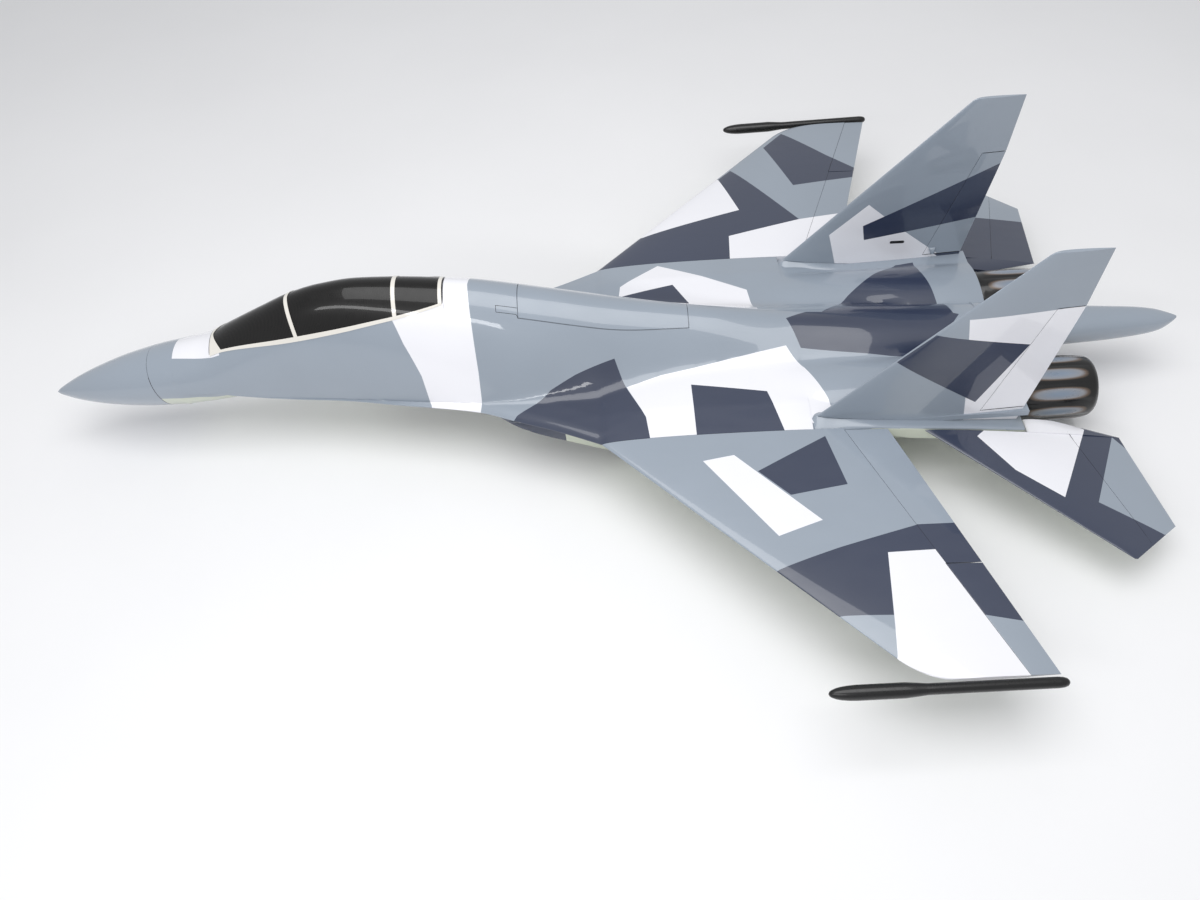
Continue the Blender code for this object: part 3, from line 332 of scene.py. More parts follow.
def line(spec, y):
    """Station of a straight edge given as (station, y, slope)."""
    return spec[0] + (y - spec[1]) * spec[2]


def ease(value, start, end):
    """0 before start, 1 after end, smooth between."""
    t = min(1.0, max(0.0, (value - start) / (end - start)))
    return t * t * (3 - 2 * t)


def soft_max(a, b, reach):
    """The larger height, with a rounded valley where the two meet."""
    join = max(reach - abs(a - b), 0.0) / reach
    return max(a, b) + join * join * reach / 4


def evenly(start, end, count):
    """Even points from start to end, both included."""
    return [start + (end - start) * k / count for k in range(count + 1)]


def steps_between(start, end, step):
    """Even points from start to end, both included, about a step apart."""
    return evenly(start, end, max(1, round((end - start) / step)))


def spread(start, end, count):
    """Points from start to end, closer together near end."""
    return [start + (end - start) * math.sin(math.pi / 2 * k / count) for k in range(count + 1)]


def round_angles(count, shift=0.0):
    """Even angles once round a circle."""
    return [2 * math.pi * (k + shift) / count for k in range(count)]


def signed_power(value, power):
    return math.copysign(abs(value) ** power, value)


def arc(share):
    """Height of a circle of radius 1 at a distance from its middle."""
    return math.sqrt(max(0.0, 1 - share * share))


def airfoil(u, thickness):
    """Half-thickness at a fraction of the chord: round nose, thin tail."""
    u = min(max(u, 0.0), 1.0)
    return 0.5 * thickness * math.sin(math.pi * u ** 0.6) ** 0.8 + 0.0004 * u


def wing_thickness(y):
    return WING_ROOT_THICKNESS + (WING_TIP_THICKNESS - WING_ROOT_THICKNESS) * (y - WING_LE[1]) / WING_SPAN


def half_width(s):
    """Half-width of the body out to its sharp side edge, strakes included."""
    if s > DECK_END:
        return INNER_DECK
    return along(CONE_RADIUS if s < ROUND_END else HALF_WIDTH, s)


def edge_half(s):
    """Half-thickness of the side edge, which meets the wing root behind the strake."""
    u = (s - WING_LE[0]) / (WING_TE[0] - WING_LE[0])
    return max(EDGE_THICKNESS, airfoil(u, WING_ROOT_THICKNESS) if u > 0 else 0.0)


def top_z(s, y):
    """Upper skin: a rounded hump on a thin strake, with humps over the engines behind."""
    edge = along(EDGE_Z, s)
    width = half_width(s)
    if s < ROUND_END:
        return edge + max(EDGE_THICKNESS, width * arc(y / width))
    plate = edge + edge_half(s) + min(CROWN, CROWN_SLOPE * max(0.0, width - abs(y)))
    fullness = max(0.0, 1 - (y / along(HUMP_WIDTH, s)) ** 2)
    hump = (along(TOP_Z, s) - edge) * fullness ** along(HUMP_POWER, s)
    if s > ENGINE_CROWN[0][0]:
        valley = along(VALLEY_Z, s)
        plate += (valley - plate) * ease(s, *VALLEY_SPAN)
        across = (abs(y) - ENGINE_Y) / along(ENGINE_HALF, s)
        engine = valley + (along(ENGINE_CROWN, s) - valley) * arc(across)
        plate = soft_max(plate, engine, VALLEY_ROUND)
    reach = max(FILLET_SHARE * hump, FILLET * ease(width - abs(y), 0.0, 0.03)) + 1e-9
    return edge + soft_max(hump, plate - edge, reach)


def bottom_z(s, y):
    """Lower skin: a rounded belly under a thin strake, then a thin deck on the spine's keel."""
    edge = along(EDGE_Z, s)
    width = half_width(s)
    if s < ROUND_END:
        return edge - max(EDGE_THICKNESS, width * arc(y / width))
    belly = (edge - along(BOTTOM_Z, s)) * arc(y / along(BELLY_WIDTH, s))
    if s > DECK_END:
        return min(top_z(s, y) - DECK_SKIN, edge - belly)
    plate = min(DECK_THICKNESS, edge_half(s) + DECK_SLOPE * max(0.0, width - abs(y)))
    return edge - max(plate, belly)


def sill_y(s):
    """Half-width of the canopy at its sill."""
    edge = along(EDGE_Z, s)
    share = (along(SILL_Z, s) - edge) / (along(TOP_Z, s) - edge)
    fullness = min(1.0, share ** (1 / along(HUMP_POWER, s)))
    return along(HUMP_WIDTH, s) * math.sqrt(1 - fullness)


def leaning(ring, centre):
    """Nose ring tipped back towards its foot, as the cone's seam is, with its points still on the skin."""
    share = 1 - ease(abs(centre - CONE_SEAM), 0.010, 0.045)
    moved = []
    for s, y, z in ring:
        middle_z = along(EDGE_Z, s)
        place = s + SEAM_LEAN * (middle_z - z) * share
        scale = half_width(place) / half_width(s)
        moved.append((place, y * scale, along(EDGE_Z, place) + (z - middle_z) * scale))
    return moved


def body_ring(s, side_count=36, middle_count=24, bottom_count=12):
    """One closed cross-section of the body, with the canopy left off and the hatch recess sunk."""
    width = half_width(s)
    in_canopy = CANOPY[0] - 0.001 < s < CANOPY[1] + 0.001
    middle = sill_y(s) if in_canopy else min(along(HATCH_WIDTH, s), 0.6 * width)
    sides = [middle] + spread(middle + 2 * GAP, width, side_count)
    centre = evenly(middle, -middle, middle_count)[1:-1]
    across = sides[::-1] + centre + [-y for y in sides]
    ring = []
    for y in across:
        z = top_z(s, y)
        if in_canopy:
            z = min(z, along(SILL_Z, s) - GAP)
        elif HATCH[0] - 0.0001 < s < HATCH[1] + 0.0001 and abs(y) <= middle + 1e-6:
            z -= HATCH_RECESS
        ring.append((s, y, z))
    belly = min(along(BELLY_WIDTH, s), 0.999 * width)
    below = spread(0.0, belly, bottom_count) + evenly(belly, width, 8)[1:]
    ring += [(s, -y, bottom_z(s, y)) for y in below[::-1]]
    ring += [(s, y, bottom_z(s, y)) for y in below[1:]]
    if abs(s - CONE_SEAM) < 0.0004:
        centre_z = along(EDGE_Z, s)
        ring = [(s, y * SEAM_SHRINK, centre_z + (z - centre_z) * SEAM_SHRINK) for s, y, z in ring]
    return leaning(ring, s) if s < ROUND_END else ring


def offset_point(s, y, distance):
    """Point of the upper skin moved out along the normal of its cross-section."""
    step = 0.0005
    slope = (top_z(s, y + step) - top_z(s, y - step)) / (2 * step)
    size = math.hypot(1, slope)
    return y - slope / size * distance, top_z(s, y) + distance / size


def cover_ring(s, limit, outer, inner, count, lip=0.0, floor=0.0):
    """Cross-section of a thin shell that follows the upper skin out to a half-width, plus a lip."""
    across = [limit * math.sin(math.pi / 2 * (2 * k / count - 1)) for k in range(count + 1)]
    if lip:
        across = [-limit - lip] + across + [limit + lip]
    ring = [(s, *offset_point(s, y, outer)) for y in across]
    for y in across[::-1]:
        moved_y, z = offset_point(s, y, inner)
        ring.append((s, moved_y, max(z, floor)))
    return ring


def oval(s, y_mid, half, top, bottom, power, count, rake=0.0, floor=-1.0):
    """A rounded-box cross-section; the rake leans it back towards its foot."""
    ring = []
    for angle in round_angles(count, 0.5):
        y = signed_power(math.cos(angle), 2 / power)
        z = signed_power(math.sin(angle), 2 / power)
        height = max(floor, (top + bottom) / 2 + z * (top - bottom) / 2)
        ring.append((s + rake * (top - height), y_mid + half * y, height))
    return ring


def section(le, te, thickness, place, count=30):
    """Aerofoil outline from the leading edge over the top to the trailing edge, and back below."""
    shares = [(k / count) ** 1.8 for k in range(count + 1)]
    stations = [le + (te - le) * v for v in shares]
    halves = [airfoil(v, thickness) for v in shares]
    top = [place(s, h) for s, h in zip(stations, halves)]
    bottom = [place(s, -h) for s, h in zip(stations[1:], halves[1:])]
    return top + bottom[::-1]


def control_section(hinge, te, radius, place, arc=20):
    """Round nose about the hinge, tapering straight to the trailing edge."""
    points = []
    for k in range(arc + 1):
        angle = math.pi / 2 + math.pi * k / arc
        points.append(place(hinge + radius * math.cos(angle), radius * math.sin(angle)))
    points.append(place(te, -0.0005))
    points.append(place(te, 0.0005))
    return points


def hinge_cutter_section(hinge, te, radius, top_reach, bottom_reach, place, arc=16):
    """Space for a control surface: a hollow round its nose, open behind, with a lip above and below."""
    hollow = radius + 0.0001
    start = math.acos(-min(top_reach / hollow, 0.9999))
    end = 2 * math.pi - math.acos(-min(bottom_reach / hollow, 0.9999))
    points = [place(te + 0.05, 0.03), place(hinge - top_reach, 0.03)]
    for k in range(arc + 1):
        angle = start + (end - start) * k / arc
        points.append(place(hinge + hollow * math.cos(angle), hollow * math.sin(angle)))
    points.append(place(hinge - bottom_reach, -0.03))
    points.append(place(te + 0.05, -0.03))
    return points


# ---------------------------------------------------------------- meshes
def show(obj):
    bpy.context.scene.collection.objects.link(obj)
    return obj


def add_mesh(name, points, faces, materials, crease=32):
    """Object from points given as (station, y, z), with outward normals and smooth shading."""
    mesh = bpy.data.meshes.new(name)
    mesh.from_pydata([(s - MIDDLE, y, z) for s, y, z in points], [], faces)
    work = bmesh.new()
    work.from_mesh(mesh)
    bmesh.ops.remove_doubles(work, verts=work.verts, dist=1e-6)
    bmesh.ops.recalc_face_normals(work, faces=work.faces)
    if work.calc_volume(signed=True) < 0:
        bmesh.ops.reverse_faces(work, faces=work.faces)
    work.to_mesh(mesh)
    work.free()
    for material in materials:
        mesh.materials.append(material)
    mesh.shade_smooth()
    mesh.set_sharp_from_angle(angle=math.radians(crease))
    return show(bpy.data.objects.new(name, mesh))


def loft(name, rings, materials, endless=False, crease=32):
    """Skin equal rings in order; the ends are capped, or joined to each other if endless."""
    count = len(rings[0])
    points = [p for ring in rings for p in ring]
    faces = []
    rows = len(rings) if endless else len(rings) - 1
    for r in range(rows):
        here = r * count
        there = (r + 1) % len(rings) * count
        for k in range(count):
            n = (k + 1) % count
            faces.append((here + k, here + n, there + n, there + k))
    if not endless:
        faces.append(tuple(range(count)))
        faces.append(tuple(range(len(points) - count, len(points))))
    return add_mesh(name, points, faces, materials, crease)


def turned(name, profile, centre, axis, steps, materials, closed=False, shape=None, crease=32):
    """Solid of revolution about X or Y; shape(distance, angle) may change the radius."""
    rows = []
    points = []
    for distance, radius in profile:
        row = []
        for angle in round_angles(steps) if radius > 1e-6 else [0.0]:
            size = radius + (shape(distance, angle) if shape else 0.0)
            first = size * math.cos(angle)
            second = size * math.sin(angle)
            offset = (distance, first, second) if axis == "X" else (first, distance, second)
            row.append(len(points))
            points.append(tuple(c + o for c, o in zip(centre, offset)))
        rows.append(row)
    faces = []
    for row, after in zip(rows, rows[1:] + rows[:1]) if closed else zip(rows, rows[1:]):
        for k in range(steps):
            n = (k + 1) % steps
            if len(row) == 1:
                faces.append((row[0], after[n], after[k]))
            elif len(after) == 1:
                faces.append((row[k], row[n], after[0]))
            else:
                faces.append((row[k], row[n], after[n], after[k]))
    return add_mesh(name, points, faces, materials, crease)


def box(name, low, high, materials):
    corners = [(s, y, z) for s in (low[0], high[0]) for y in (low[1], high[1]) for z in (low[2], high[2])]
    faces = ((0, 1, 3, 2), (4, 6, 7, 5), (0, 4, 5, 1), (2, 3, 7, 6), (0, 2, 6, 4), (1, 5, 7, 3))
    return add_mesh(name, corners, faces, materials)


def cut(target, tool, inside=INSIDE):
    """Cut the tool out of the target for good; the new faces take the inside material."""
    for face in tool.data.polygons:
        face.material_index = inside
    modifier = target.modifiers.new("cut", "BOOLEAN")
    modifier.operation = "DIFFERENCE"
    modifier.object = tool
    modifier.solver = "EXACT"
    depsgraph = bpy.context.evaluated_depsgraph_get()
    mesh = bpy.data.meshes.new_from_object(target.evaluated_get(depsgraph))
    target.modifiers.clear()
    old = target.data
    target.data = mesh
    mesh.name = target.name
    bpy.data.meshes.remove(old)
    bpy.data.objects.remove(tool)


def tube(name, path, radius, materials, steps=8):
    """Thin closed tube through points given as (station, y, z)."""
    points = [Vector(p) for p in path]
    rings = []
    for k, point in enumerate(points):
        ahead = points[min(k + 1, len(points) - 1)] - points[max(k - 1, 0)]
        side = ahead.cross(Vector((0.1, 0.2, 1.0))).normalized()
        up = side.cross(ahead).normalized()
        rings.append([point + radius * (math.cos(a) * side + math.sin(a) * up) for a in round_angles(steps)])
    return loft(name, rings, materials)


def inside_outline(point, outline):
    """Whether a flat point lies inside a closed outline."""
    hit = False
    for (u0, v0), (u1, v1) in zip(outline, outline[1:] + outline[:1]):
        if (v0 > point[1]) != (v1 > point[1]) and point[0] < (u1 - u0) * (point[1] - v0) / (v1 - v0) + u0:
            hit = not hit
    return hit


def paint_patches(obj, patches, upright=False, accept=None, base=GREY):
    """Paint straight-edged patches onto a skin, cutting its faces exactly along the patch edges.

    Patches are seen from above, or from the side if upright. accept(normal) picks the faces painted,
    and a base of None leaves what is there already.
    """
    flat = (0, 2) if upright else (0, 1)
    depth = Vector((0, 1, 0)) if upright else Vector((0, 0, 1))
    work = bmesh.new()
    work.from_mesh(obj.data)
    work.normal_update()
    for face in work.faces:
        if base is not None and face.material_index != INSIDE and accept(face.normal):
            face.material_index = base
    for colour, stations in patches:
        outline = [(s - MIDDLE, v) for s, v in stations]
        lows = [min(p[i] for p in outline) for i in (0, 1)]
        highs = [max(p[i] for p in outline) for i in (0, 1)]
        faces = [f for f in work.faces if touches(f, flat, lows, highs)]
        for a, b in zip(outline, outline[1:] + outline[:1]):
            low = [min(a[i], b[i]) - 1e-4 for i in (0, 1)]
            high = [max(a[i], b[i]) + 1e-4 for i in (0, 1)]
            near = [f for f in faces if touches(f, flat, low, high)]
            if not near:
                continue
            chosen = set(near)
            start = Vector((0, 0, 0))
            start[flat[0]], start[flat[1]] = a
            run = Vector((0, 0, 0))
            run[flat[0]], run[flat[1]] = b[0] - a[0], b[1] - a[1]
            edges = {e for f in near for e in f.edges}
            corners = {v for f in near for v in f.verts}
            made = bmesh.ops.bisect_plane(work, geom=near + list(edges) + list(corners), dist=1e-6,
                                          plane_co=start, plane_no=run.cross(depth))
            faces = [f for f in faces if f not in chosen]
            faces += [g for g in made["geom"] if isinstance(g, bmesh.types.BMFace)]
        for face in faces:
            centre = face.calc_center_median()
            if face.material_index != INSIDE and accept(face.normal):
                if inside_outline((centre[flat[0]], centre[flat[1]]), outline):
                    face.material_index = colour
    work.to_mesh(obj.data)
    work.free()


def touches(face, flat, low, high):
    """Whether a face's box, seen along the projection, overlaps a rectangle."""
    for i in (0, 1):
        values = [v.co[flat[i]] for v in face.verts]
        if max(values) < low[i] or min(values) > high[i]:
            return False
    return True


def upper(normal):
    return normal.z > -0.2


def lower(normal):
    return normal.z <= -0.2


def any_way(normal):
    return True


def paint_shell(obj, patches, base=GREY):
    """Paint a skin pale below, and the splinter pattern above."""
    paint_patches(obj, (), accept=lower, base=PALE)
    paint_patches(obj, patches, accept=upper, base=base)


def finish_skin(obj, *replaced, body="airframe", slot="painted_shell", crease=32):
    """Smooth the skin, put it on its body and let it stand for its solid."""
    obj.data.shade_smooth()
    obj.data.set_sharp_from_angle(angle=math.radians(crease))
    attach(obj, body)
    if replaced:
        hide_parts(*replaced)


# ---------------------------------------------------------------- materials
def linear(colour, factor=1.0):
    """Linear colour from the usual 0 to 255 screen values, made lighter or darker by a factor."""
    values = []
    for value in colour:
        v = value / 255
        v = v / 12.92 if v <= 0.04045 else ((v + 0.055) / 1.055) ** 2.4
        values.append(min(1.0, v * factor))
    return (*values, 1.0)


class Look:
    """A node material with a principled shader, driven by patterns in object coordinates."""

    def __init__(self, name, metallic=0.0, roughness=0.4, coat=0.0, coat_roughness=0.05):
        self.material = bpy.data.materials.new(name)
        self.material.use_nodes = True
        self.tree = self.material.node_tree
        self.link = self.tree.links.new
        self.shader = self.tree.nodes["Principled BSDF"]
        for socket, value in (("Metallic", metallic), ("Roughness", roughness), ("Coat Weight", coat),
                              ("Coat Roughness", coat_roughness)):
            self.shader.inputs[socket].default_value = value
        self.place = self.node("TexCoord").outputs["Object"]

    def node(self, kind, **values):
        """New shader node with values on its input sockets."""
        node = self.tree.nodes.new("ShaderNode" + kind)
        for socket, value in values.items():
            node.inputs[socket].default_value = value
        return node

    def noise(self, scale, detail=4.0, stretch=None):
        source = self.place
        if stretch:
            mapping = self.node("Mapping", Scale=stretch)
            self.link(source, mapping.inputs["Vector"])
            source = mapping.outputs["Vector"]
        node = self.node("TexNoise", Scale=scale, Detail=detail)
        self.link(source, node.inputs["Vector"])
        return node.outputs["Fac"]

    def tone(self, value, stops):
        """Base colour that runs through the stops, each a position and a colour."""
        node = self.node("ValToRGB")
        elements = node.color_ramp.elements
        while len(elements) < len(stops):
            elements.new(0.5)
        for element, (position, colour) in zip(elements, stops):
            element.position = position
            element.color = colour
        self.link(value, node.inputs["Fac"])
        self.link(node.outputs["Color"], self.shader.inputs["Base Color"])

    def gloss(self, value, low, high):
        """Map a noise value to a range of roughness."""
        node = self.node("MapRange", **{"From Min": 0.3, "From Max": 0.7, "To Min": low, "To Max": high})
        self.link(value, node.inputs["Value"])
        self.link(node.outputs["Result"], self.shader.inputs["Roughness"])

    def bump(self, value, strength, distance):
        node = self.node("Bump", Strength=strength, Distance=distance)
        self.link(value, node.inputs["Height"])
        self.link(node.outputs["Normal"], self.shader.inputs["Normal"])


def gloss_paint(name, colour, drift=0.05):
    """Sprayed shell colour under clear lacquer: slow drift in tone, faint orange peel, wiped dust."""
    look = Look(name, roughness=0.35, coat=1.0, coat_roughness=0.035)
    look.tone(look.noise(2.6, 5.0), ((0.30, linear(colour, 1 - drift)), (0.70, linear(colour, 1 + drift))))
    look.gloss(look.noise(38.0, 5.0, (0.35, 1.0, 1.0)), 0.28, 0.42)
    look.bump(look.noise(420.0, 2.0), 0.035, 0.0006)
    return look.material


def plain(name, colour, roughness, metallic=0.0, grain=260.0, depth=0.10, drift=0.12, stretch=None, coat=0.0):
    """Moulded, cast or brushed stuff: grain in tone, roughness and surface."""
    look = Look(name, metallic, roughness, coat)
    grain_value = look.noise(grain, 4.0, stretch)
    stops = ((0.25, linear(colour, 1 - drift)), (0.75, linear(colour, 1 + drift)))
    look.tone(look.noise(24.0, 4.0, stretch), stops)
    look.gloss(grain_value, max(0.03, roughness - 0.07), roughness + 0.07)
    look.bump(grain_value, depth, 0.0004)
    return look.material


def woven(name, dark, light, cell, roughness=0.25, coat=1.0):
    """Carbon cloth under lacquer: a fine over-and-under check."""
    look = Look(name, roughness=roughness, coat=coat, coat_roughness=0.03)
    look.shader.inputs["Specular IOR Level"].default_value = 0.5 * coat
    checker = look.node("TexChecker", Scale=1 / cell, Color1=linear(dark), Color2=linear(light))
    look.link(look.place, checker.inputs["Vector"])
    look.link(checker.outputs["Color"], look.shader.inputs["Base Color"])
    look.gloss(look.noise(60.0, 3.0), roughness - 0.06, roughness + 0.06)
    look.bump(checker.outputs["Fac"], 0.03, 0.0002)
    return look.material


def petal_metal(name):
    """Heat-stained nozzle: pale steel in the middle of each petal, tan at its rim, soot between."""
    look = Look(name, metallic=0.35, roughness=0.3, coat=0.6, coat_roughness=0.08)
    petal = look.node("Attribute")
    petal.attribute_name = "petal"
    stops = ((0.0, (4, 4, 5)), (0.46, (12, 10, 9)), (0.60, (104, 88, 76)), (0.74, (150, 152, 158)),
             (1.0, (134, 148, 166)))
    look.tone(petal.outputs["Fac"], [(position, linear(colour)) for position, colour in stops])
    look.gloss(look.noise(90.0, 5.0, (0.3, 1.0, 1.0)), 0.22, 0.40)
    look.bump(look.noise(300.0, 3.0), 0.08, 0.0004)
    return look.material


SHELL = [
    gloss_paint("shell_grey", (146, 156, 168)),
    gloss_paint("shell_slate", (44, 53, 76), drift=0.08),
    gloss_paint("shell_white", (238, 238, 243), drift=0.02),
    gloss_paint("shell_underside", (196, 202, 186)),
    plain("shell_inside", (46, 46, 48), 0.7),
]
CREAM = gloss_paint("canopy_frame_paint", (228, 224, 216), drift=0.02)
GLAZING = woven("dark_glazing", (7, 7, 7), (20, 18, 17), 0.0024, 0.3, 0.45)
RAIL = plain("rail_black_gloss", (7, 7, 8), 0.32, coat=0.25, depth=0.03)
BLACK = plain("moulded_black", (28, 28, 30), 0.5)
LEATHER = plain("cockpit_black", (38, 37, 36), 0.65, grain=120.0, depth=0.3)
STEEL = plain("brushed_steel", (178, 180, 184), 0.28, 1.0, stretch=(0.06, 1.0, 1.0))
ALUMINIUM = plain("machined_aluminium", (196, 199, 204), 0.30, 1.0, stretch=(1.0, 1.0, 0.1))
RUBBER = plain("tyre_rubber_fine", (34, 34, 35), 0.85, grain=180.0, depth=0.35)
CARBON = woven("carbon_tube_cloth", (20, 20, 21), (44, 44, 46), 0.0030)
WRAP = plain("battery_shrink_wrap", (38, 70, 150), 0.30, coat=0.5, drift=0.08)
FAN = plain("fan_nylon", (24, 24, 26), 0.38, grain=160.0)
SEAM = plain("seam_shadow", (22, 22, 25), 0.9)
PETAL = petal_metal("petal_metal")


# ---------------------------------------------------------------- body
def build_body():
    """One continuous skin from nose tip to engine outlets, with its bays cut out."""
    stations = [-0.0066, -0.0055, -0.004, -0.002, 0.0, 0.003, 0.007, 0.012, 0.018, 0.026, 0.035]
    stations += steps_between(0.045, CONE_SEAM - 0.0007, 0.010)
    stations += [CONE_SEAM - SEAM_HALF_WIDTH, CONE_SEAM + SEAM_HALF_WIDTH]
    stations += steps_between(CONE_SEAM + 0.0007, 0.2999, 0.010)
    stations += steps_between(0.3001, CANOPY[0] - 0.0015, 0.008)
    stations += [CANOPY[0] - 0.0009]
    stations += steps_between(CANOPY[0] + 0.001, CANOPY[1] + 0.0005, 0.007)
    stations += steps_between(CANOPY[1] + 0.0015, HATCH[0] - 0.0006, 0.008)
    stations += steps_between(HATCH[0], HATCH[1], 0.008)
    stations += steps_between(HATCH[1] + 0.0006, DECK_END - 0.0002, 0.008)
    stations += steps_between(DECK_END + 0.0002, SKIN_END, 0.008)
    body = loft("fuselage_skin", [body_ring(s) for s in stations], SHELL)
    for face in body.data.polygons:
        s = face.center.x + MIDDLE
        lean = SEAM_LEAN * (along(EDGE_Z, s) - face.center.z)
        if s < ROUND_END and abs(s - lean - CONE_SEAM) < 0.0006:
            face.material_index = INSIDE
    for name, corners in (("cockpit", COCKPIT), ("equipment", EQUIPMENT_BAY), ("nose_wheel", NOSE_BAY)):
        cut(body, box(f"{name}_cutter", *corners, SHELL))
    paint_shell(body, BODY_PATCHES)
    paint_patches(body, NOSE_UNDERSIDE_PATCHES, True, lower, None)
    paint_patches(body, NOSE_SIDE_PATCHES, True, any_way, None)
    finish_skin(body, "nose_cone", "forward_fuselage", "centre_fuselage", "rear_spine")

    half = ((1.60, 0.072), (1.75, 0.067), (2.02, 0.062), (2.10, 0.052), (2.253, 0.037), (2.327, 0.029),
            (2.360, 0.0225), (2.390, 0.0085), (2.397, 0.003))
    bottom = ((1.60, 0.118), (1.90, 0.116), (2.05, 0.108), (2.15, 0.101), (2.253, 0.099), (2.327, 0.1035),
              (2.360, 0.1095), (2.397, 0.131))
    rings = []
    for s in steps_between(1.98, 2.30, 0.010) + steps_between(2.306, 2.397, 0.006):
        top = along(TOP_Z, s) - 0.0006 * (1 - ease(s, 2.015, 2.03))
        rings.append(oval(s, 0.0, along(half, s), top, along(bottom, s), 2.3, 56))
    sting = loft("tail_sting_skin", rings, SHELL)
    finish_skin(sting, "tail_sting")


def pane_edge(stations, direction):
    """Bowed front or rear edge of a pane, given its stations at the middle and at the sills."""
    middle, outer = stations
    reach = sill_y(outer) - 0.001
    shares = [direction * k / 12 for k in range(-11, 12)]
    return [(middle + (outer - middle) * abs(v) ** 1.5, reach * v, 0.2) for v in shares]


def build_canopy():
    """Dark glazing with a faint weave, and its cream frame with two arches and sills."""
    stations = steps_between(CANOPY[0] + 0.001, CANOPY[1] - 0.002, 0.006)
    rings = [cover_ring(s, sill_y(s), 0.0, -0.0025, 44, floor=along(SILL_Z, s)) for s in stations]
    glass = loft("canopy_glazing", rings, [GLAZING])
    finish_skin(glass, "canopy_glass", body="canopy", slot="canopy_tint")

    rings = [cover_ring(s, sill_y(s), 0.0011, 0.0003, 44, lip=0.0018) for s in stations]
    rim = loft("canopy_frame_bands", rings, [CREAM])
    for number, (front, rear) in enumerate(PANES):
        edge = steps_between(front[1], rear[1], 0.012)
        lower_loop = [(s, sill_y(s) - 0.001, 0.2) for s in edge]
        lower_loop += pane_edge(rear, -1)
        lower_loop += [(s, 0.001 - sill_y(s), 0.2) for s in edge[::-1]]
        lower_loop += pane_edge(front, 1)
        upper_loop = [(s, y, 0.45) for s, y, _ in lower_loop]
        cut(rim, loft(f"pane_cutter_{number}", [lower_loop, upper_loop], [CREAM]), 0)
    finish_skin(rim, "canopy_frame", body="canopy", slot="frame_white")


def build_hatch():
    """Spine hatch, with the outline of its latch on the skin ahead of it."""
    stations = steps_between(HATCH[0] + 0.0007, HATCH[1] - 0.0007, 0.008)
    rings = [cover_ring(s, along(HATCH_WIDTH, s) - 0.0008, 0.0, -HATCH_THICKNESS, 36) for s in stations]
    hatch = loft("equipment_hatch_skin", rings, SHELL)
    paint_patches(hatch, BODY_PATCHES, accept=any_way)
    finish_skin(hatch, "equipment_hatch", body="hatch")

    outline = [(1.0365, -0.037), (0.995, -0.037), (0.995, -0.047), (1.034, -0.047), (1.0365, -0.0515)]
    for number, ((s0, y0), (s1, y1)) in enumerate(zip(outline, outline[1:])):
        path = [(s, y, top_z(s, y) - 0.0001) for s, y in zip(evenly(s0, s1, 8), evenly(y0, y1, 8))]
        finish_skin(tube(f"latch_seam_{number}", path, 0.00045, [SEAM]))


# ---------------------------------------------------------------- wings
def rounded_levels(start, end, reach, step, count):
    """Levels up to a rounded tip, each with how far the round sets its leading edge back."""
    corner = end - reach
    levels = steps_between(start, corner, step) + spread(corner, end, count)[1:]
    return [(v, reach * (1 - arc(max(0.0, v - corner) / reach))) for v in levels]


def split_off(skin, name, ends, levels, hinge, edge, radius, reaches, place):
    """Cut the space of a control surface out of a skin, and skin the surface itself."""
    kind, label = name.split("_")
    tool = [hinge_cutter_section(line(hinge, v), edge(v), radius(v), *reaches(v), place(v)) for v in ends]
    cut(skin, loft(f"{kind}_cutter_{label}", tool, SHELL))
    rings = [control_section(line(hinge, v), edge(v), radius(v), place(v)) for v in levels]
    return loft(f"{kind}_skin_{label}", rings, SHELL)


def dark_line(name, path, body="airframe"):
    """Shadow line in the joint between a fixed and a moving surface."""
    finish_skin(tube(name, path, LINE_RADIUS, [SEAM]), body=body)


def wing_half(s, y):
    """Half-thickness of the wing at a station and a distance from the middle."""
    le = line(WING_LE, y)
    return airfoil((s - le) / (line(WING_TE, y) - le), wing_thickness(y))


def wing_hinge_radius(y):
    return wing_half(line(WING_HINGE, y), y)


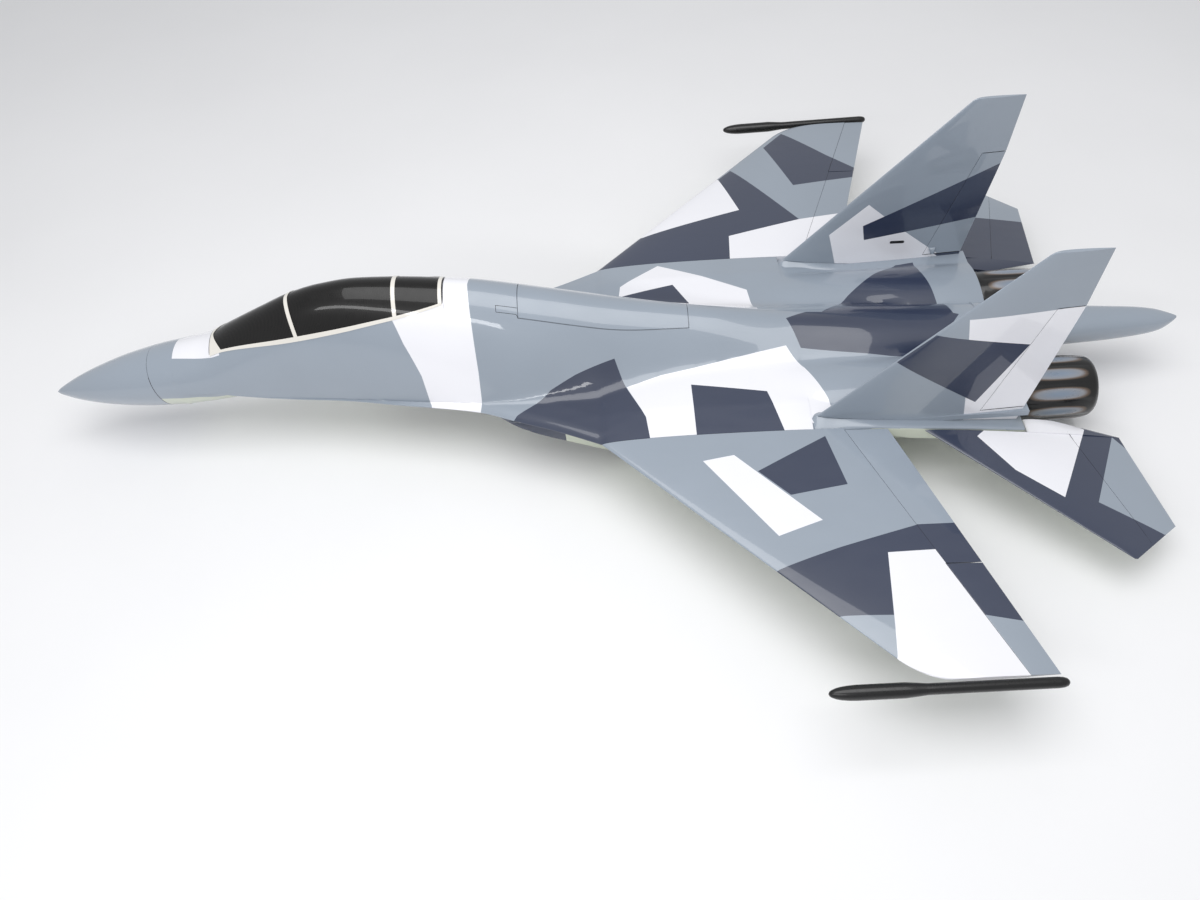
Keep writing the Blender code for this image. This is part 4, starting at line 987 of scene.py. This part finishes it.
def build_wing(side, label):
    def flat(y):
        return lambda s, h: (s, side * y, WING_Z + h)

    def wing_te(y):
        return line(WING_TE, y)

    def flap_lips(y):
        return FLAP_LIP, wing_hinge_radius(y) + 0.0008

    def aileron_lips(y):
        return (AILERON_LIP * wing_hinge_radius(y) + LIP_CLEARANCE,) * 2

    patches = LEFT_WING_PATCHES if side < 0 else RIGHT_WING_PATCHES
    rings = []
    for y, setback in rounded_levels(WING_ROOT_Y, WING_TIP_Y, TIP_ROUND, 0.03, 12):
        rings.append(section(line(WING_LE, y) + setback, wing_te(y), wing_thickness(y), flat(y)))
    wing = loft(f"wing_skin_{label}", rings, SHELL)

    for kind, span, ends, lips in (("flap", FLAP_Y, (0.20, 0.580), flap_lips),
                                   ("aileron", AILERON_Y, (0.580, 0.83), aileron_lips)):
        name = f"{kind}_{label}"
        levels = steps_between(*span, 0.05)
        surface = split_off(wing, name, ends, levels, WING_HINGE, wing_te, wing_hinge_radius, lips, flat)
        paint_shell(surface, LEFT_FLAP_PATCHES if side < 0 else patches)
        finish_skin(surface, name, body=name)

        path = []
        for y in steps_between(*span, 0.02):
            s = line(WING_HINGE, y) - lips(y)[0] + GAP
            path.append((s, side * y, WING_Z + wing_half(s, y) - LINE_SINK))
        dark_line(f"{kind}_line_{label}", path)

    length, width = POCKET_SIZE
    for kind, s, y in SERVO_POCKETS:
        low = (s, min(side * y, side * (y + width)), WING_Z - 0.02)
        high = (s + length, low[1] + width, WING_Z + 0.0025)
        cut(wing, box(f"{kind}_pocket_{label}", low, high, SHELL))
    paint_shell(wing, patches)
    finish_skin(wing, f"wing_{label}")

    rail = turned(f"tip_rail_skin_{label}", RAIL_PROFILE, (0.0, side * RAIL_Y, WING_Z), "X", 40, [RAIL])
    finish_skin(rail, f"tip_rail_{label}", slot="rail_black")


# ---------------------------------------------------------------- tail
def fin_te(z):
    low, middle, high = FIN_TE
    a, b = (low, middle) if z < middle[0] else (middle, high)
    return a[1] + (z - a[0]) * (b[1] - a[1]) / (b[0] - a[0])


def fin_le(z):
    return FIN_ROOT[0] + (z - FIN_ROOT[1]) * FIN_LE_SLOPE


def fin_thickness(z):
    share = (z - FIN_ROOT[1]) / (FIN_TIP_Z - FIN_ROOT[1])
    return FIN_THICKNESS[0] + share * (FIN_THICKNESS[1] - FIN_THICKNESS[0])


def fin_half(s, z):
    """Half-thickness of the fin at a station and a height."""
    return airfoil((s - fin_le(z)) / (fin_te(z) - fin_le(z)), fin_thickness(z))


def rudder_radius(z):
    return fin_half(line(RUDDER_HINGE, z), z)


def rudder_lips(z):
    """How far the fin's two sides are cut back ahead of the rudder's hinge."""
    return (RUDDER_LIP * rudder_radius(z) + LIP_CLEARANCE,) * 2


def fin_root_z(s):
    return FIN_ROOT[1] + (s - FIN_ROOT[0]) * FIN_ROOT_SLOPE


def build_fin(side, label):
    def on_root(s, h):
        return s, side * FIN_Y + h, fin_root_z(s)

    def upright(z):
        return lambda s, h: (s, side * FIN_Y + h, z)

    def outboard(normal):
        return normal.y * side > 0

    def inboard(normal):
        return normal.y * side <= 0

    rings = [section(FIN_ROOT[0], FIN_TE[0][1], FIN_THICKNESS[0], on_root)]
    for z, setback in rounded_levels(0.19, FIN_TIP_Z, FIN_ROUND, 0.03, 10):
        rings.append(section(fin_le(z) + setback, fin_te(z), fin_thickness(z), upright(z)))
    fin = loft(f"fin_skin_{label}", rings, SHELL)
    name = f"rudder_{label}"
    ends = (RUDDER_Z[0] - 0.0012, RUDDER_Z[1] + 0.0012)
    levels = steps_between(*RUDDER_Z, 0.05)
    rudder = split_off(fin, name, ends, levels, RUDDER_HINGE, fin_te, rudder_radius, rudder_lips, upright)
    for obj in (fin, rudder):
        paint_patches(obj, FIN_OUTBOARD_PATCHES, True, outboard)
        paint_patches(obj, FIN_INBOARD_PATCHES, True, inboard)
    finish_skin(fin, f"fin_{label}")
    finish_skin(rudder, name, body=name)

    build_boom(side, label)
    build_fin_fittings(side, label)


def build_boom(side, label):
    """Tail boom under the fin: a ridge that grows out of the deck into a slab with a square end."""
    rings = []
    for s in steps_between(1.592, 2.008, 0.008) + [2.0115, 2.0135, BOOM_END]:
        growth = ease(s, 1.64, 1.80)
        closing = 0.0012 * ease(s, 2.010, BOOM_END)
        front = 0.1634 - 0.9 * max(0.0, 1.612 - s)
        top = min(fin_root_z(max(s, FIN_ROOT[0])) - 2 * GAP, front) - closing
        foot = along(BOOM_BOTTOM, s) + closing
        rings.append(oval(s, side * BOOM_Y, BOOM_HALF_WIDTH - closing, top, foot, 1.1 + 6.9 * growth, 72))
    boom = loft(f"tail_boom_skin_{label}", rings, SHELL)
    paint_patches(boom, (), accept=lambda normal: normal.z < 0.3, base=PALE)
    finish_skin(boom, f"tail_boom_{label}")


def build_fin_fittings(side, label):
    """Rudder horn fairing; on the inboard face a black lozenge, painted shade standing for the dark pushrod
    slot; and the rudder's outline on both.
    """
    face_y = side * (FIN_Y - 0.5 * fin_thickness(0.165))
    rings = []
    for z, start, stand in ((0.1730, 1.9345, 0.0008), (0.1715, 1.9350, 0.0032), (0.1650, 1.9370, 0.0042),
                            (0.1590, 1.9390, 0.0034), (0.1575, 1.9395, 0.0008)):
        end = start + 0.014 - 0.30 * (0.173 - z)
        root = face_y + side * 0.004
        outer = face_y - side * stand
        rings.append([(start, root, z), (end, root, z), (end, face_y, z), (end - 0.003, outer, z),
                      (start + 0.003, outer, z), (start, face_y, z)])
    rudder = f"rudder_{label}"
    finish_skin(loft(f"horn_fairing_{label}", rings, SHELL, crease=50), body=rudder, crease=50)

    for face, facing in ((side, "outboard"), (-side, "inboard")):
        def on_face(s, z, face=face):
            return s, side * FIN_Y + face * (fin_half(s, z) - LINE_SINK), z

        levels = steps_between(*RUDDER_Z, 0.02)
        path = [on_face(line(RUDDER_HINGE, z) - rudder_lips(z)[0] + GAP, z) for z in levels]
        dark_line(f"rudder_line_{facing}_{label}", path)
        for end, z in (("foot", RUDDER_Z[0] + 0.0002), ("head", RUDDER_Z[1] - 0.0002)):
            stations = steps_between(line(RUDDER_HINGE, z) + 0.001, fin_te(z) - 0.001, 0.01)
            dark_line(f"rudder_{end}_{facing}_{label}", [on_face(s, z) for s in stations], rudder)

    # Painted shade: the pushrod slot is a recess, drawn as a black lozenge standing a hair proud of the
    # inboard face.
    middle_s, middle_z = 1.860, 0.196
    slope = -0.05
    loops = []
    for depth in (-0.003, 0.0004):
        loop = []
        for angle in round_angles(32):
            run = 0.0125 * (1 if math.cos(angle) > 0 else -1) + 0.0035 * math.cos(angle)
            y = side * (FIN_Y - fin_half(middle_s + run, middle_z) - depth)
            loop.append((middle_s + run, y, middle_z + slope * run + 0.0035 * math.sin(angle)))
        loops.append(loop)
    finish_skin(loft(f"pushrod_slot_shade_{label}", loops, [BLACK]), slot="rail_black")


def stab_edges(y):
    """Leading and trailing stations of the stabilator at a distance from the middle."""
    share = (y - STAB_ROOT_CORNER[1]) / (STAB_NOTCH[1] - STAB_ROOT_CORNER[1])
    if y < STAB_NOTCH[1]:
        te = STAB_ROOT_CORNER[0] + 0.002 + share * (line(STAB_ROOT_TE, STAB_NOTCH[1]) - STAB_ROOT_CORNER[0])
        return STAB_NOTCH[0], te
    te = line(STAB_ROOT_TE, y) if y < STAB_TIP_TE[1] else line(STAB_TIP_TE, y)
    return line(STAB_ROOT_LE, y), te


def stab_thickness(y):
    le, te = stab_edges(y)
    thinning = STAB_THINNING * max(0.0, y - STAB_NOTCH[1]) / STAB_SPAN
    return min(STAB_THICKNESS * (1 - thinning), 0.12 * (te - le))


def build_stabilator(side, label):
    """All-moving tail surface with a fine seam ahead of its trailing edge, on its steel shaft."""
    def tilted(y):
        return lambda s, h: (s, side * y, line(STAB_Z, s) + h)

    body = f"stabilator_{label}"
    stations = [0.2305, 0.240, 0.250, 0.260, 0.2679, 0.2681] + steps_between(0.275, 0.480, 0.02)
    stations += steps_between(0.485, 0.554, 0.008)
    rings = [section(*stab_edges(y), stab_thickness(y), tilted(y)) for y in stations]
    skin = loft(f"stabilator_skin_{label}", rings, SHELL)
    paint_shell(skin, LEFT_STAB_PATCHES if side < 0 else RIGHT_STAB_PATCHES, SLATE)
    finish_skin(skin, body, body=body)

    path = []
    for y, s in zip(evenly(0.262, 0.520, 12), evenly(2.100, 2.168, 12)):
        le, te = stab_edges(y)
        path.append(tilted(y)(s, airfoil((s - le) / (te - le), stab_thickness(y)) - 0.00015))
    finish_skin(tube(f"stabilator_seam_{label}", path, 0.00035, [SEAM]), body=body)

    profile = ((-0.024, 0.0), (-0.024, 0.0034), (-0.0235, 0.0040), (0.0, 0.0040), (0.0, 0.0))
    place = (STAB_PIVOT, side * 0.245, line(STAB_Z, STAB_PIVOT))
    shaft = turned(f"stabilator_shaft_{label}", profile, place, "Y", 32, [STEEL])
    finish_skin(shaft, body=body, slot="tube_steel")


# ---------------------------------------------------------------- engines
def build_engine(side, label):
    y = side * ENGINE_Y
    roof = WING_Z - DECK_THICKNESS - GAP

    def rake(s):
        return NACELLE_RAKE * max(0.0, (RAKE_END - s) / (RAKE_END - NACELLE[0]))

    def outer_ring(s):
        top = roof + (along(NACELLE_TOP, s) - roof) * ease(s, 1.58, 1.64)
        foot = along(NACELLE_BOTTOM, s)
        ring = oval(s, y, along(NACELLE_HALF, s), top, foot, along(NACELLE_POWER, s), 64, rake(s), 0.0)
        return ring if s > 1.45 else [under_strake(point, rake(s)) for point in ring]

    def under_strake(point, lean):
        """Carry the roof of the intake up to the underside of the strake, along its leaning lip."""
        s, across, z = point
        rise = 0.0
        for _ in range(4):
            rise = max(0.0, bottom_z(s - lean * rise, across) - 0.0005 - roof)
        rise *= ease(z, roof - 0.012, roof)
        s -= lean * rise
        reach = min(abs(across), half_width(s) - 0.004)
        return s, math.copysign(reach, across), z + rise

    def duct_ring(s):
        half, top, foot, power = (along(knots, s) for knots in (DUCT_HALF, DUCT_TOP, DUCT_BOTTOM, DUCT_POWER))
        return oval(s, y, half, top, foot, power, 64, rake(s))

    outer = [outer_ring(s) for s in steps_between(*NACELLE, 0.014)]
    inner = [duct_ring(s) for s in steps_between(*NACELLE, 0.02)[::-1]]
    nacelle = loft(f"nacelle_skin_{label}", outer + inner, SHELL, endless=True)
    paint_patches(nacelle, NACELLE_PATCHES, True, any_way, PALE)
    finish_skin(nacelle, f"nacelle_{label}")

    def petal_window(s):
        share = (s - PETAL_SPAN[0]) / (PETAL_SPAN[1] - PETAL_SPAN[0])
        return math.sin(math.pi * share) ** 0.45 if 0 < share < 1 else 0.0

    def pillow(s, angle):
        return -0.0026 * (1 - abs(math.cos(PETALS * angle / 2))) * petal_window(s)

    stations = steps_between(2.0, 2.160, 0.004) + [2.1635, 2.167, 2.170, 2.173, 2.1755, 2.1775, 2.179]
    profile = [(s, along(NOZZLE_OUTER, s)) for s in stations] + list(NOZZLE_INNER)
    steps = 240
    centre = (0.0, y, ENGINE_Z)
    nozzle = turned(f"nozzle_petals_{label}", profile, centre, "X", steps, [PETAL], True, pillow, 60)
    tone = nozzle.data.attributes.new("petal", "FLOAT", "POINT")
    for vertex in nozzle.data.vertices:
        if vertex.index < len(stations) * steps:
            angle = math.atan2(vertex.co.z - ENGINE_Z, vertex.co.y - y)
            share = petal_window(vertex.co.x + MIDDLE)
            tone.data[vertex.index].value = abs(math.cos(PETALS * angle / 2)) * share
    finish_skin(nozzle, f"nozzle_{label}", slot="nozzle_metal", crease=60)


# ---------------------------------------------------------------- wheels
def build_wheel(name, radius, half, body):
    """Ribbed tyre on a dished hub, in the place of the solid wheel."""
    low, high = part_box(f"{name}_tyre")
    centre = (low + high) / 2
    centre.x += MIDDLE
    rim = 0.62 * radius
    middle = (radius + rim) / 2
    tyre = []
    for angle in round_angles(48):
        out = math.sin(angle)
        across = half * signed_power(math.cos(angle), 0.7)
        groove = 0.0006 if out > 0.9 and abs(math.sin(across / half * 9.0)) < 0.35 else 0.0
        tyre.append((across, middle + (radius - rim) / 2 * signed_power(out, 0.8) - groove))
    skin = turned(f"{name}_tyre_ribbed", tyre, centre, "Y", 96, [RUBBER], True)
    finish_skin(skin, f"{name}_tyre", body=body, slot="tyre_rubber")

    edge = rim - GAP
    lip = 0.85 * half
    one_side = [(-lip, 0.0023), (-lip, 0.30 * rim), (-0.9 * lip, 0.36 * rim), (-0.35 * lip, 0.45 * rim),
                (-0.35 * lip, 0.78 * rim), (-0.9 * lip, 0.88 * rim), (-lip, 0.97 * edge), (-0.8 * lip, edge)]
    hub = one_side + [(-across, size) for across, size in one_side[::-1]]
    dish = turned(f"{name}_hub_dished", hub, centre, "Y", 64, [ALUMINIUM], True)
    finish_skin(dish, f"{name}_hub", body=body, slot="motor_aluminium")


def dress_kept_nodes():
    """Give every solid that stays visible its fine material."""
    looks = {"cockpit_tub": LEATHER, "battery_pack": WRAP, "receiver": BLACK, "speed_controller": ALUMINIUM,
             "wing_spar_tube": CARBON, "nose_leg": STEEL, "nose_fork": STEEL, "nose_retract_unit": ALUMINIUM}
    for _, label in SIDES:
        looks.update({f"fan_housing_{label}": FAN, f"fan_motor_{label}": ALUMINIUM, f"fan_rotor_{label}": FAN,
                      f"thrust_tube_{label}": STEEL, f"main_leg_{label}": STEEL,
                      f"main_retract_unit_{label}": ALUMINIUM, f"gear_bay_{label}": SHELL[PALE],
                      f"flap_servo_{label}": BLACK, f"aileron_servo_{label}": BLACK})
    for name, material in looks.items():
        mesh = nodes[name].data
        mesh.materials.clear()
        mesh.materials.append(material)


# ---------------------------------------------------------------- studio
def look_at(obj, target):
    direction = Vector(target) - obj.location
    obj.rotation_euler = direction.to_track_quat("-Z", "Y").to_euler()


def softbox(name, place, target, width, depth, power):
    light = bpy.data.lights.new(name, "AREA")
    light.shape = "RECTANGLE"
    light.size = width
    light.size_y = depth
    light.energy = power
    obj = show(bpy.data.objects.new(name, light))
    obj.location = place
    look_at(obj, target)


def build_floor():
    size = 14.0
    level = cad_low.z - 0.0005
    mesh = bpy.data.meshes.new("studio_floor")
    corners = [(-size, -size, level), (size, -size, level), (size, size, level), (-size, size, level)]
    mesh.from_pydata(corners, [], [(0, 1, 2, 3)])
    look = Look("studio_floor_white", roughness=0.75)
    look.tone(look.noise(1.4), ((0.3, (0.86, 0.86, 0.87, 1.0)), (0.7, (0.89, 0.89, 0.90, 1.0))))
    mesh.materials.append(look.material)
    floor = show(bpy.data.objects.new("studio_floor", mesh))


def build_lights():
    world = bpy.data.worlds.new("studio_air")
    bpy.context.scene.world = world
    world.use_nodes = True
    background = world.node_tree.nodes["Background"]
    background.inputs["Color"].default_value = (0.97, 0.98, 1.0, 1.0)
    background.inputs["Strength"].default_value = 0.58

    middle = (cad_low + cad_high) / 2
    softbox("overhead_box", (0.0, -0.5, 2.8), middle, 3.0, 2.2, 50.0)
    softbox("front_strip", (-0.9, -2.3, 1.9), middle, 2.4, 0.25, 14.0)


def build_camera():
    """Camera over the left side, turned by its yaw, pitch and roll in degrees."""
    camera_data = bpy.data.cameras.new("view")
    camera_data.lens = 28.68
    camera_data.sensor_width = 36.0
    camera_data.clip_start = 0.05
    camera_data.clip_end = 60.0
    camera = bpy.data.objects.new("view", camera_data)
    place = Vector((0.0688, -1.4727, 1.5757))
    yaw, pitch, roll = (math.radians(v) for v in (-3.805, -49.984, -6.516))
    ahead = Vector((math.sin(yaw) * math.cos(pitch), math.cos(yaw) * math.cos(pitch), math.sin(pitch)))
    level_right = Vector((math.cos(yaw), -math.sin(yaw), 0.0))
    level_up = level_right.cross(ahead)
    right = math.cos(roll) * level_right + math.sin(roll) * level_up
    up = math.cos(roll) * level_up - math.sin(roll) * level_right
    turn = Matrix((right, up, -ahead)).transposed()
    camera.matrix_world = Matrix.Translation(place) @ turn.to_4x4()
    show(camera)
    bpy.context.scene.camera = camera
    bpy.context.scene.view_settings.view_transform = "Standard"


def build_all():
    build_body()
    build_canopy()
    build_hatch()
    for side, label in SIDES:
        build_wing(side, label)
        build_fin(side, label)
        build_stabilator(side, label)
        build_engine(side, label)
    build_wheel("nose", 0.028, 0.010, "nose_wheel")
    for _, label in SIDES:
        low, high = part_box(f"main_{label}_tyre")
        build_wheel(f"main_{label}", (high.x - low.x) / 2, (high.y - low.y) / 2, f"main_wheel_{label}")
    dress_kept_nodes()
    build_floor()
    build_lights()
    build_camera()


build_all()
